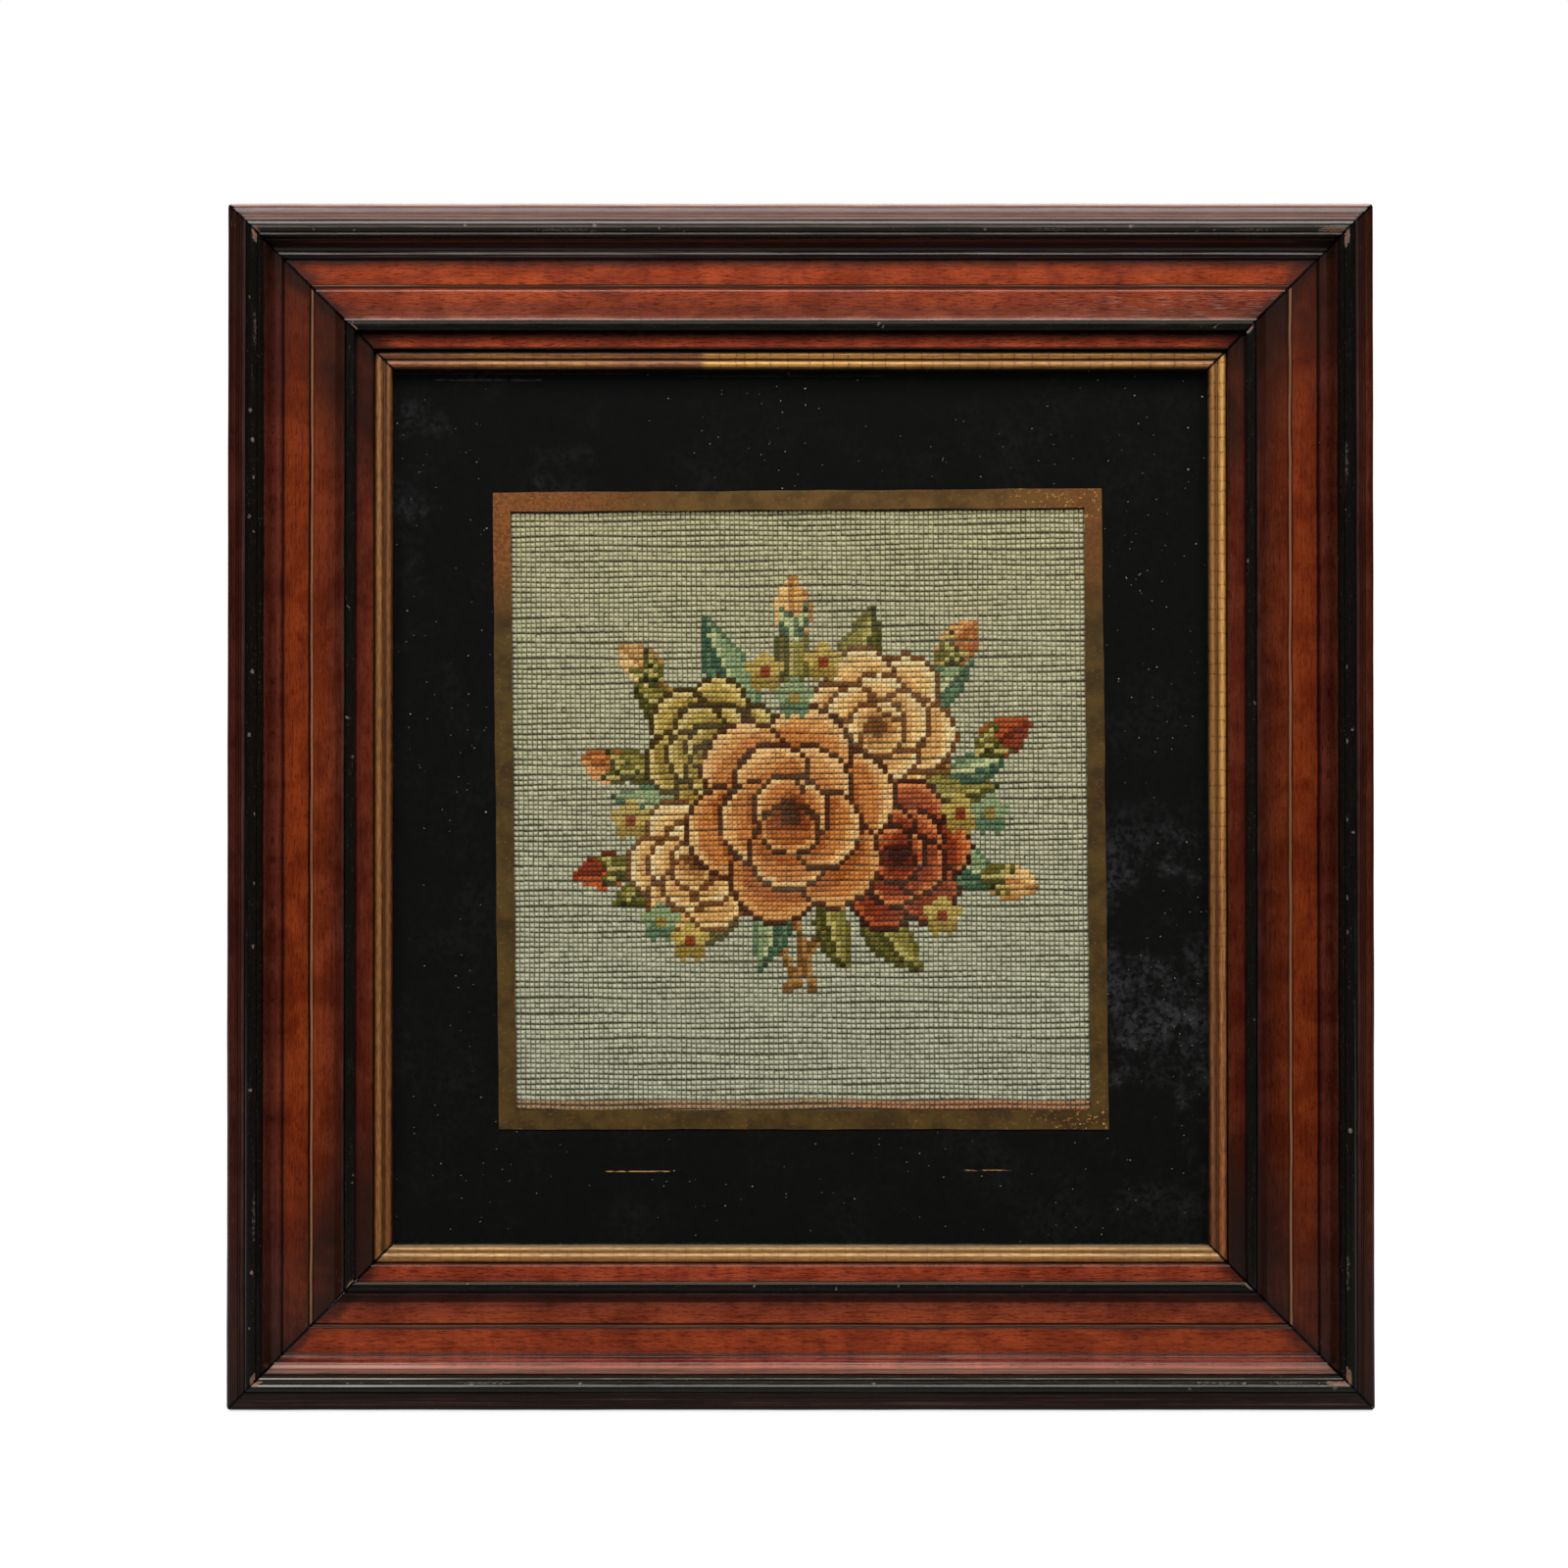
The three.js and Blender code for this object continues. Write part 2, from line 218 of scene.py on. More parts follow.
def bar(name, side, outline, stations, materials, node, wear):
    """One mitred member of the frame. wear(along, outline) gives how deep each point is worn, and how worn it looks,
    which on a rail is the painted light along it.
    """
    turn, reach, span = SIDES[side]
    count = len(outline)
    u, v = outline.T
    gap = np.interp(v, (v.min() + 1, v.max() - 4), (0.01, MITRE_GAP))
    half = span / 2 - u - gap / 2 * sqrt(2)
    ends = 1 - np.array([0.25, 0.5, 0.8, 1.2, 1.6]) * 2 / span
    share = np.sort(np.concatenate([np.linspace(-1, 1, stations), ends, -ends]))
    stations = len(share)
    along = share[:, None] * half
    inward = np.repeat(u[None], stations, 0)
    grain = np.stack([along, inward, half - np.abs(along)], -1)
    corner = np.maximum(span / 2 - np.abs(along), ROUNDED_BACK)
    along = np.sign(along) * (span / 2 - corner)
    inward = np.maximum(inward, ROUNDED - np.sqrt(ROUNDED**2 - np.maximum(ROUNDED - corner, 0) ** 2))
    depth, worn = wear(along, outline)
    middle = outline.mean(0)
    inward = inward + depth * np.sign(middle[0] - u) * (np.abs(middle[0] - u) > 0.2)
    forward = v - depth * (v > middle[1])
    x, z = along, inward - reach
    edge = np.roll(outline, -1, 0) - np.roll(outline, 1, 0)
    upturned = -edge[:, 1] / np.linalg.norm(edge, axis=1) * cos(turn)
    points = np.stack([
        x * cos(turn) + z * sin(turn),
        DEPTH / 2 - forward,
        z * cos(turn) - x * sin(turn) + HEIGHT / 2,
    ], -1).reshape(-1, 3)
    s, p = (a.ravel() for a in np.indices((stations - 1, count)))
    q = (p + 1) % count
    quads = np.stack([s * count + p, (s + 1) * count + p, (s + 1) * count + q, s * count + q], -1)
    last = (stations - 1) * count
    faces = quads.tolist() + [list(range(count)), list(range(last + count - 1, last - 1, -1))]
    face_materials = None
    if len(materials) > 1:
        centre = (outline + np.roll(outline, -1, 0)) / 2
        unfinished = (centre[:, 0] > 0.05) & (centre[:, 1] < FACE_BACK)
        face_materials = np.append(unfinished[p], [False, False])
    piece = new_piece(name, points, faces, materials, [node], face_materials)
    store(piece, "grain", "FLOAT_VECTOR", grain + (NEXT_SIDE * list(SIDES).index(side), 0, 0))
    store(piece, "wear", "FLOAT", worn)
    store(piece, "upturned", "FLOAT", np.broadcast_to(upturned, worn.shape))


def smooth_noise(along, seed, length, octaves=3):
    """A gentle wave along a member, about -1 to 1, from sines of random phase."""
    rng = np.random.default_rng(seed)
    total = np.zeros_like(along)
    for k in range(octaves):
        phase, stretch = rng.uniform(0, 2 * pi), rng.uniform(0.8, 1.25)
        total += np.sin(along * 2 * pi / (length * stretch) * 2**k + phase) / 1.6**k
    return total / 1.8


def dents(seed, count, span, lengths, depths, chips):
    """Wear for a bead: small dents along its crown, and chips (end, distance from the mitre, length, depth),
    of which those under a tenth of a millimetre deep are only scuffs."""

    def wear(along, outline):
        rng = np.random.default_rng(seed)
        depth = 0.03 * smooth_noise(along, seed, 60)
        worn = np.zeros_like(along)
        across, up = (outline - outline.mean(0)).T
        around = np.arctan2(up, across)
        for _ in range(count):
            at, long, deep, angle = (rng.uniform(*r) for r in ((-span, span), lengths, depths, (0.4, 2.7)))
            patch = np.exp(-(((along - at) / long) ** 2) - ((around - angle) / 0.3) ** 2)
            depth = depth + deep * patch
            worn = np.maximum(worn, 0.5 * np.clip(patch * 1.6, 0, 1))
        half = np.abs(along).max(0, keepdims=True)
        for end, distance, long, deep in chips:
            at = end * (half - distance)
            patch = np.exp(-(((along - at) / long) ** 4) - ((around - 1.3) / 0.9) ** 4)
            ragged = 1 + 0.3 * smooth_noise(along * 3 + around * 4, seed + 1, 3)
            depth = depth + deep * patch * ragged
            worn = np.maximum(worn, np.clip(patch * ragged, 0, 1) * (1 if deep > 0.1 else 0.24))
        return depth, worn

    return wear


# ---- colours and nodes


def rgb(red, green, blue):
    """A colour given as it looks on a screen, 0 to 255, as shaders take it."""
    linear = [(c / 255) / 12.92 if c <= 10 else ((c / 255 + 0.055) / 1.055) ** 2.4 for c in (red, green, blue)]
    return (*linear, 1)


def grey(value):
    return (value, value, value, 1)


class Nodes:
    """A node tree and short ways to add to it."""

    def __init__(self, tree):
        self.nodes, self.links = tree.nodes, tree.links

    def add(self, kind, inputs=None, **settings):
        node = self.nodes.new("ShaderNode" + kind)
        for key, value in settings.items():
            setattr(node, key, value)
        self.feed(node, inputs or {})
        return node

    def feed(self, node, inputs):
        for key, value in inputs.items():
            if isinstance(value, bpy.types.NodeSocket):
                self.links.new(value, node.inputs[key])
            else:
                node.inputs[key].default_value = value

    def split(self, vector):
        return self.add("SeparateXYZ", {0: vector}).outputs

    def sized(self, vector, scale):
        return self.add("VectorMath", {0: vector, 1: scale}, operation="MULTIPLY").outputs[0]

    def math(self, operation, a, b=0):
        return self.add("Math", {0: a, 1: b}, operation=operation).outputs[0]

    def times(self, value, *others):
        for other in others:
            value = self.math("MULTIPLY", value, other)
        return value

    def plus(self, a, b):
        return self.math("ADD", a, b)

    def most(self, a, b):
        return self.math("MAXIMUM", a, b)

    def fit(self, value, low, high, to_low=0, to_high=1, kind="SMOOTHSTEP"):
        """A value eased from to_low, at low or beyond, to to_high, at high or beyond."""
        inputs = {"Value": value, "From Min": low, "From Max": high, "To Min": to_low, "To Max": to_high}
        return self.add("MapRange", inputs, interpolation_type=kind).outputs[0]

    def band(self, value, start, full, fading, end):
        """Rises to 1 between start and full, and falls back to 0 between fading and end."""
        return self.times(self.fit(value, start, full), self.fit(value, end, fading))


class Shader(Nodes):
    """A new material, whose colour is built up coat by coat."""

    def __init__(self, name):
        self.material = bpy.data.materials.new(name)
        self.material.use_nodes = True
        super().__init__(self.material.node_tree)
        self.surface = self.nodes["Principled BSDF"]

    def attribute(self, name, output="Fac"):
        return self.add("Attribute", attribute_name=name).outputs[output]

    def moulding(self):
        """Takes the grain for its place. Gives its three parts, the wear (on a rail, the painted light along it) and
        how far each face looks upwards.
        """
        self.place = self.attribute("grain", "Vector")
        return *self.split(self.place), self.attribute("wear"), self.attribute("upturned")

    def millimetres(self):
        """Takes the piece's own coordinates, in millimetres, for its place."""
        self.place = self.sized(self.add("TexCoord").outputs["Object"], (1000, 1000, 1000))
        return self.place

    def noise(self, scale, detail=3, roughness=0.55, distortion=0):
        inputs = {"Vector": self.sized(self.place, scale), "Scale": 1, "Detail": detail, "Roughness": roughness}
        return self.add("TexNoise", {**inputs, "Distortion": distortion}).outputs["Fac"]

    def mix(self, share, a, b, blend="MIX"):
        return self.add("Mix", {0: share, 6: a, 7: b}, data_type="RGBA", blend_type=blend).outputs[2]

    def between(self, value, low, high, first, second):
        """From one colour to another as a value goes from low to high."""
        return self.mix(self.fit(value, low, high), rgb(*first), rgb(*second))

    def ramp(self, value, reach, stops):
        """A colour read off (place, (red, green, blue)) stops that lie between 0 and reach."""
        node = self.add("ValToRGB", {0: self.math("DIVIDE", value, reach)})
        elements = node.color_ramp.elements
        while len(elements) < len(stops):
            elements.new(0.5)
        for element, (place, _) in zip(elements, stops):
            element.position = place / reach
        for element, (place, colour) in zip(elements, stops):
            element.position, element.color = place / reach, rgb(*colour)
        return node.outputs[0]

    def paint(self, colour, *shares, blend="MIX"):
        """Lays a colour over what is there, as strongly as the shares come to when multiplied."""
        if not isinstance(colour, bpy.types.NodeSocket):
            colour = rgb(*colour)
        self.colour = self.mix(self.times(*shares), self.colour, colour, blend)

    def coat(self, value, low, high, most, colour, blend="MIX"):
        """Paints with a share that goes from none to most as a value goes from low to high."""
        self.paint(colour, self.fit(value, low, high, 0, most), blend=blend)

    def stain(self, colour, *shares):
        """Darkens what is there by a colour."""
        self.paint(colour, *shares, blend="MULTIPLY")

    def finish(self, rough, relief, distance, strength, shine=0.5, **sockets):
        bump = self.add("Bump", {"Height": relief, "Distance": distance, "Strength": strength})
        sockets |= {"Base_Color": self.colour, "Roughness": rough, "Normal": bump.outputs[0]}
        sockets["Specular_IOR_Level"] = shine
        self.feed(self.surface, {key.replace("_", " "): value for key, value in sockets.items()})
        return self.material

    def close(self, shader):
        """The material with another shader in the principled one's place."""
        self.nodes.remove(self.surface)
        self.links.new(shader.outputs[0], self.nodes["Material Output"].inputs["Surface"])
        return self.material


def mahogany(side):
    """Varnished mahogany, one copy for each side with its own painted light and shade: bright on the flats, painted
    shade nearly black in the hollows and grooves, and nearly black at the mitres.
    """
    s = Shader(f"Mahogany_{side}")
    along, inward, mitre, tone, up = s.moulding()
    depth = s.split(s.millimetres())[1]
    s.place = s.add("CombineXYZ", {0: along, 1: s.math("SUBTRACT", inward, depth)}).outputs[0]
    place = s.plus(inward, s.fit(s.noise((0.03, 0.1, 1), 2), 0.3, 0.7, -0.12, 0.12))
    # each side's painted light and shade multiplies the zones' colours
    lit = [(p, [c * np.interp(p, *zip(*PAINTED_LIGHT_ACROSS[side])) for c in colour]) for p, colour in ZONES]
    outer, inner = [z for z in lit if z[0] <= RISE], [z for z in lit if z[0] >= RISE]
    s.colour = s.mix(s.math("GREATER_THAN", place, RISE), *(s.ramp(place, SIGHT, stops) for stops in (outer, inner)))
    # painted light along the rail: the wood is darkened by the level its wear attribute carries for this side
    s.stain(s.add("CombineColor", {0: tone, 1: tone, 2: tone}).outputs[0], 1)
    smoke = s.noise((0.022, 0.03, 1), 4, distortion=0.6)
    figure = s.noise((0.07, 0.09, 1), 4, distortion=0.5)
    streaks = s.noise((0.035, 0.8, 1), 5, 0.6)
    dashes = s.noise((0.2, 2.2, 1), 3, 0.6)
    pores = s.noise((0.5, 6, 1), 2)
    for pattern, low, high, most, colour in (
        (smoke, 0.44, 0.64, 0.5, (196, 178, 176)),
        (figure, 0.4, 0.62, 0.75, (206, 182, 172)),
        (streaks, 0.45, 0.7, 0.55, (168, 136, 124)),
        (dashes, 0.52, 0.62, FLECKED[side], (136, 96, 84)),
        (pores, 0.56, 0.66, 0.6, (104, 70, 58)),
    ):
        s.coat(pattern, low, high, most, colour, "MULTIPLY")
    if STREAKED[side]:
        drawn = s.noise((0.007, 2, 1), 4, 0.65)
        outside = s.fit(inward, 20.3, 19.8)
        s.stain((140, 112, 104), s.fit(drawn, 0.5, 0.6, 0, STREAKED[side]), outside)
        s.paint((196, 160, 144), s.fit(drawn, 0.45, 0.36, 0, 0.25 * STREAKED[side]), outside)
    nearness = s.plus(mitre, s.fit(figure, 0.3, 0.7, -4, 4))
    s.coat(nearness, 9, 0.5, 0.75, (28, 14, 10))
    if SMOKED[side]:
        haze = s.times(s.fit(nearness, 74, 14), s.fit(smoke, 0.35, 0.6, SMOKED[side], 1))
        s.paint((32, 19, 14), haze, s.fit(inward, 28.5, 31.5, 0.66, 0.98))
    # the groove's worn edge, painted brighter as a highlight on the sides that face the light
    start, strength = GROOVE_WEAR_AND_HIGHLIGHT[side]
    line = s.band(place, start, start + 0.15, start + 0.65, start + 0.9)
    s.paint((206, 148, 106), line, s.fit(streaks, 0.3, 0.6, 0.6 * strength, strength))
    if side == "top":
        end = s.times(s.fit(along, 1935, 1870), s.band(inward, 32, 34, 41, 42.5))
        scratches = s.noise((0.1, 5, 1), 3, 0.65)
        s.paint((184, 166, 156), end, s.fit(scratches, 0.57, 0.66, 0, 0.45))
    if side == "bottom":
        # painted highlight: a pale line along the cove near the bottom rail's left end
        end = s.times(s.fit(along, -96, -168, 0.12, 0.6), s.fit(streaks, 0.3, 0.6, 0.6, 1))
        s.paint((206, 180, 168), s.band(inward, 14.9, 15.5, 15.9, 16.4), end)
    rubbed = s.times(s.fit(s.noise((0.25, 4, 1), 2), 0.64, 0.7), s.fit(figure, 0.56, 0.7))
    s.paint((168, 148, 136), rubbed, s.fit(nearness, 22, 6, 0.1, 0.5))
    s.paint((186, 128, 88), s.fit(s.noise((0.5, 1.4, 1), 3, 0.7), 0.74, 0.76), 0.8)
    # dust on upward faces, which also paints the sheen those faces catch from above
    dust_and_sheen = s.times(s.fit(up, 0.15, 0.8), s.fit(streaks, 0.25, 0.75, 1, 0.45), s.fit(inward, 0.02, 0.3, 0.4, 1))
    s.paint((180, 134, 116), dust_and_sheen, s.fit(inward, 18.8, 19.6, 1, 0.15), DUST_AND_SHEEN[side])
    # painted shade: downward faces darkened
    s.coat(up, -0.1, -0.7, 0.7, (20, 11, 8))
    s.coat(mitre, 0.8, 0.35, 1, (7, 4, 3))
    reeded = s.band(inward, 4, 4.6, 6.6, 6.9)
    rough = s.plus(s.fit(streaks, 0.3, 0.7, 0.14, 0.22), s.times(reeded, 0.25))
    rough = s.plus(rough, s.fit(inward, 0.3, 0.02, 0, 0.36))
    return s.finish(rough, s.plus(s.times(pores, 0.5), dashes), 0.00002, 0.35, SHINE[side])


def ebonised(name, polish, lift):
    """Black stained wood under a worn polish, flecked with grey where scuffed and orange where chipped, with painted
    light on its upward faces and painted highlights along the crests of the level beads.
    """
    s = Shader(name)
    along, inward, mitre, worn, up = s.moulding()
    fine = s.noise((0.5, 5, 0), 4)
    broad = s.noise((0.03, 0.5, 0))
    flecks = s.noise((0.9, 2.6, 0), 5, 0.7)
    smudges = s.noise((0.1, 1, 0), 4, 0.6)
    s.colour = s.between(fine, 0.35, 0.7, (13, 12, 9), (22, 20, 15))
    s.coat(broad, 0.6, 0.8, 0.6, (46, 27, 20))
    top = s.band(along, *(n * NEXT_SIDE for n in (1.4, 1.6, 2.4, 2.6)))
    # painted light: upward faces lighter brown, by lift and more on the top rail
    s.paint((88, 76, 63), s.fit(up, 0.3, 0.9), s.fit(top, 0, 1, lift, 0.55))
    # painted highlights along the ridge and reed crests, full on the top and bottom beads and none on the uprights
    highlit_crests = s.most(s.band(inward, 9, 9.3, 9.6, 9.9), s.band(inward, 11.5, 11.8, 12.1, 12.4))
    number = s.math("ROUND", s.math("DIVIDE", along, NEXT_SIDE))
    level = s.math("ABSOLUTE", s.math("COSINE", s.times(number, pi / 2)))
    s.paint((112, 100, 88), highlit_crests, level, s.fit(broad, 0.3, 0.6, 0.15, 0.5))
    # painted highlight along the crests near the bottom bead's left end
    painted_highlight_left_end = s.times(s.fit(along, -96, -168, 0, 0.6), s.fit(broad, 0.25, 0.55, 0.5, 1))
    s.paint((176, 166, 158), highlit_crests, painted_highlight_left_end)
    s.paint((112, 106, 94), s.fit(flecks, 0.58, 0.66), s.fit(smudges, 0.5, 0.62), 0.55)
    s.paint((150, 140, 124), s.fit(flecks, 0.7, 0.73), 0.8)
    ragged = s.times(worn, s.fit(flecks, 0.34, 0.6, 0.35, 1.5))
    s.coat(ragged, 0.2, 0.4, 1, (106, 96, 84))
    s.paint(s.between(fine, 0.4, 0.6, (164, 88, 56), (118, 62, 42)), s.fit(ragged, 0.62, 0.78))
    s.coat(mitre, 0.6, 0.25, 1, (7, 5, 4))
    rough = s.plus(s.fit(smudges, 0.35, 0.7, 0.1, 0.24), s.times(worn, 0.4))
    return s.finish(rough, fine, 0.00001, 0.3, polish)


def gilt(side):
    """Old water gilding, crazed across its length and rubbed through to the orange clay, with painted shade in its
    groove and by the rail and painted sheen on its upward faces.
    """
    s = Shader(f"Gilding_{side}")
    along, inward, mitre, worn, up = s.moulding()
    mottle = s.noise((0.25, 1.6, 0), 4)
    lines = s.noise((0.012, 3.2, 0), 4, 0.6)
    drift = s.plus(along, s.times(s.noise((0.2, 0.9, 0), 2), 2.2))
    cells = s.add("TexVoronoi", {"W": drift, "Scale": 0.19}, voronoi_dimensions="1D", feature="DISTANCE_TO_EDGE")
    crack = s.fit(cells.outputs["Distance"], 0.02, 0.055, 1, 0)
    crack = s.times(crack, s.fit(worn, 0.9, 0.4, 0.08, 1), s.fit(mottle, 0.35, 0.55, 0.3, 1))
    gold = s.between(mottle, 0.35, 0.7, (240, 184, 100), (208, 146, 68))
    clay = s.between(mottle, 0.35, 0.65, (172, 102, 48), (122, 68, 28))
    rubbed = s.times(s.noise((0.03, 1, 0), 5, 0.6), 0.7)
    gone = s.fit(s.plus(rubbed, s.times(worn, 0.6)), 0.42, 0.8)
    s.colour = s.mix(gone, gold, clay)
    s.coat(lines, 0.5, 0.66, 0.55, (150, 128, 110), "MULTIPLY")
    # painted shade in the groove between the beads
    s.paint((62, 34, 15), s.band(inward, 55.9, 56.2, 56.7, 57), GROOVE_SHADE[side])
    # painted shade where the slip meets the rail
    s.paint((96, 54, 30), s.fit(inward, 53.7, 53.2), 0.5)
    s.paint((74, 40, 16), crack, CRAZED[side])
    chalk = s.fit(s.noise((0.5, 1.1, 0)), 0.7, 0.76)
    s.paint((226, 204, 172), chalk, s.fit(worn, 0.3, 0.7), 0.6)
    # painted sheen on upward faces
    s.coat(up, 0.2, 0.8, 0.4, (190, 156, 130))
    # each side's cast of the gold, with its painted light and shade
    s.stain(s.ramp(inward, 60, GILT_CAST_AND_LIGHT[side]), 1)
    s.coat(mitre, 0.7, 0.2, 1, (24, 13, 7))
    rough = s.fit(mottle, 0.3, 0.7, 0.34, 0.46)
    relief = s.math("SUBTRACT", s.times(mottle, 0.4), crack)
    return s.finish(rough, relief, 0.00004, 0.5, Metallic=s.fit(gone, 0, 1, 0.35, 0.05))


def raw_wood():
    """Unfinished softwood, brown with age."""
    s = Shader("Raw_softwood")
    s.place = s.attribute("grain", "Vector")
    rings = s.noise((0.004, 0.35, 0), 5, distortion=1.2)
    fibre = s.noise((0.06, 5, 1), 4)
    s.colour = s.between(rings, 0.35, 0.65, (148, 112, 74), (108, 76, 46))
    s.coat(fibre, 0.4, 0.75, 0.5, (74, 50, 30))
    return s.finish(0.82, fibre, 0.0001, 0.6)


def backboard():
    s = Shader("Backboard")
    s.millimetres()
    rings = s.noise((0.35, 0.02, 0.006), 5, distortion=1)
    fibre = s.noise((4, 1, 0.08), 4)
    s.colour = s.between(rings, 0.35, 0.65, (166, 130, 90), (128, 92, 56))
    s.coat(fibre, 0.4, 0.75, 0.5, (92, 64, 38))
    s.paint((96, 76, 56), s.fit(s.noise((0.03, 0.03, 0.03)), 0.55, 0.75, 0, 0.5))
    return s.finish(0.85, fibre, 0.0001, 0.6)


def foil():
    """Tarnished gold foil: copper towards the top corners, olive elsewhere, with bright flecks."""
    s = Shader("Gold_foil")
    x, _, z = s.split(s.millimetres())
    mottle = s.noise((0.12, 1, 0.12), 5, 0.6)
    fine = s.noise((0.9, 1, 0.9), 4)
    scratch = s.noise((0.25, 1, 2.5))
    left, right, top = s.fit(x, -40, -95), s.fit(x, 60, 108), s.fit(z, 322, 328)
    copper = s.times(s.fit(z, 285, 315), s.most(left, s.times(right, 0.5)), s.fit(mottle, 0.25, 0.5, 0.5, 1))
    s.colour = s.between(mottle, 0.35, 0.65, (88, 66, 26), (62, 45, 18))
    s.paint(s.between(mottle, 0.35, 0.65, (108, 78, 36), (82, 58, 25)), top)
    s.paint(s.between(fine, 0.4, 0.62, (142, 84, 38), (104, 58, 27)), copper)
    s.coat(scratch, 0.56, 0.72, 0.5, (110, 56, 26))
    corner = s.most(s.times(top, 0.8), s.times(s.fit(z, 116, 104), right))
    bright = s.times(corner, s.most(s.times(left, 0.3), right))
    flecks = s.times(s.fit(fine, 0.58, 0.68), s.plus(bright, 0.12))
    s.paint(s.between(scratch, 0.45, 0.55, (214, 176, 84), (190, 84, 40)), flecks)
    rough = s.fit(fine, 0.3, 0.7, 0.4, 0.6)
    return s.finish(rough, mottle, 0.0001, 0.4, 0.15, Metallic=0.15)


def black_paint():
    """Black paint on the back of the glass, with pinholes, haze and a few scratches."""
    s = Shader("Black_paint")
    x, _, z = s.split(s.millimetres())
    fine = s.noise((0.5, 1, 0.5), 4, 0.65)
    cloud = s.noise((0.03, 1, 0.03), 6, 0.7)
    s.colour = s.between(fine, 0.3, 0.7, (7, 7, 6), (12, 12, 11))
    lower = s.times(s.fit(x, 96, 118), s.band(z, 60, 110, 190, 230))
    upper = s.times(s.fit(x, -60, -110, 0, 0.35), s.fit(z, 260, 320))
    patch = s.plus(s.most(lower, upper), 0.1)
    haze = s.times(s.fit(cloud, 0.46, 0.66), s.fit(fine, 0.35, 0.62), patch)
    s.paint((84, 84, 84), haze, 0.42)
    crowd = s.fit(s.noise((0.016, 1, 0.02), 2), 0.36, 0.6, 0.04, 0.95)
    for scale, radius, bright in ((0.1, 0.022, 1), (0.2, 0.03, 0.95), (0.3, 0.04, 0.7)):
        cells = s.add("TexVoronoi", {"Vector": s.sized(s.place, (scale, 0, scale * 1.5)), "Scale": 1}).outputs
        keep = s.math("LESS_THAN", s.split(cells["Color"])[0], crowd)
        ragged = s.plus(cells["Distance"], s.fit(fine, 0.3, 0.7, -0.012, 0.014))
        s.paint((222, 220, 210), s.fit(ragged, radius * 1.4, radius), keep, bright)
    broken = s.fit(s.noise((0.3, 1, 1.5)), 0.38, 0.48)
    for start, end, height, thick, colour, strength in (
        (-71.6, -48.7, 86, 0.3, (190, 140, 84), 0.9),
        (61, 77.5, 86.4, 0.3, (190, 140, 84), 0.7),
        (-135, -96, 379, 0.5, (70, 60, 62), 0.8),
        (-44, 30, 380.4, 0.3, (70, 54, 50), 0.7),
        (-150, -60, 381.4, 0.3, (74, 56, 44), 0.6),
    ):
        away = s.math("ABSOLUTE", s.math("SUBTRACT", z, height))
        run = s.band(x, start - 1, start + 1, end - 1, end + 1)
        s.paint(colour, s.fit(away, thick, thick / 2), run, broken, strength)
    return s.finish(0.6, fine, 0.00002, 0.3, 0.05)


def pane():
    """Thin clear glass that lamps shine through."""
    s = Shader("Picture_glass")
    clear = s.add("BsdfTransparent", {"Color": (0.96, 0.97, 0.96, 1)})
    shine = s.add("BsdfGlossy", {"Color": grey(1), "Roughness": 0.02})
    front = s.math("SUBTRACT", 1, s.add("NewGeometry").outputs["Backfacing"])
    mirrored = s.times(s.add("Fresnel", {"IOR": 1.5}).outputs[0], front)
    return s.close(s.add("MixShader", {0: mirrored, 1: clear.outputs[0], 2: shine.outputs[0]}))


def wool(name, sheen, shine):
    s = Shader(name)
    s.colour = s.attribute("wool_colour", "Color")
    s.millimetres()
    fibre = s.noise((3.5, 3.5, 3.5), 4, 0.65)
    s.colour = s.mix(s.fit(fibre, 0.3, 0.7, 0, 0.5), s.colour, grey(0.55), "MULTIPLY")
    s.paint((190, 180, 150), s.fit(s.noise((0.03, 0.03, 0.03)), 0.4, 0.7, 0, 0.12))
    return s.finish(0.95, fibre, 0.00025, 0.7, shine, Sheen_Weight=sheen, Sheen_Roughness=0.5)


def canvas_cloth():
    s = Shader("Canvas")
    x, _, z = s.split(s.millimetres())
    weave = s.most(*(s.math("ABSOLUTE", s.math("SINE", s.times(v, pi / THREAD))) for v in (x, z)))
    s.colour = s.between(weave, 0.3, 0.9, (44, 40, 24), (116, 108, 78))
    s.paint((84, 76, 50), s.fit(s.noise((0.4, 0.4, 0.4)), 0.4, 0.7, 0, 0.4))
    return s.finish(0.95, weave, 0.0003, 0.6)


# ---- the flowers' chart

WOOL = {
    "ground": [(228, 216, 168)],
    "russet": [(88, 46, 20), (152, 74, 26), (190, 108, 44), (218, 144, 74), (240, 180, 110), (254, 212, 150)],
    "brick": [(72, 28, 14), (118, 42, 16), (156, 62, 24), (196, 96, 46), (230, 146, 86)],
    "cream": [(130, 82, 40), (200, 146, 84), (236, 188, 120), (254, 218, 154), (255, 236, 188)],
    "mustard": [(84, 64, 22), (134, 112, 44), (176, 150, 70), (212, 188, 104), (240, 220, 148)],
    "leaf": [(50, 50, 18), (84, 82, 30), (120, 114, 48), (162, 152, 76), (204, 192, 116)],
    "teal": [(44, 66, 54), (72, 106, 84), (108, 140, 108), (162, 184, 142), (212, 220, 172)],
    "stem": [(84, 54, 24), (138, 94, 42), (188, 142, 78)],
    "edging": [(206, 160, 120), (216, 150, 106)],
}
SHADES = [(name, step) for name in WOOL for step in range(len(WOOL[name]))]
FIRST = {name: SHADES.index((name, 0)) for name in WOOL}
COLS, ROWS = np.meshgrid(np.arange(STITCHES) + 0.5, np.arange(STITCHES) + 0.5)


def turned(centre, angle):
    """Chart coordinates along and across a line at that angle through a centre, in stitches."""
    a = radians(angle)
    x, y = COLS - centre[0], ROWS - centre[1]
    return x * cos(a) + y * sin(a), y * cos(a) - x * sin(a)


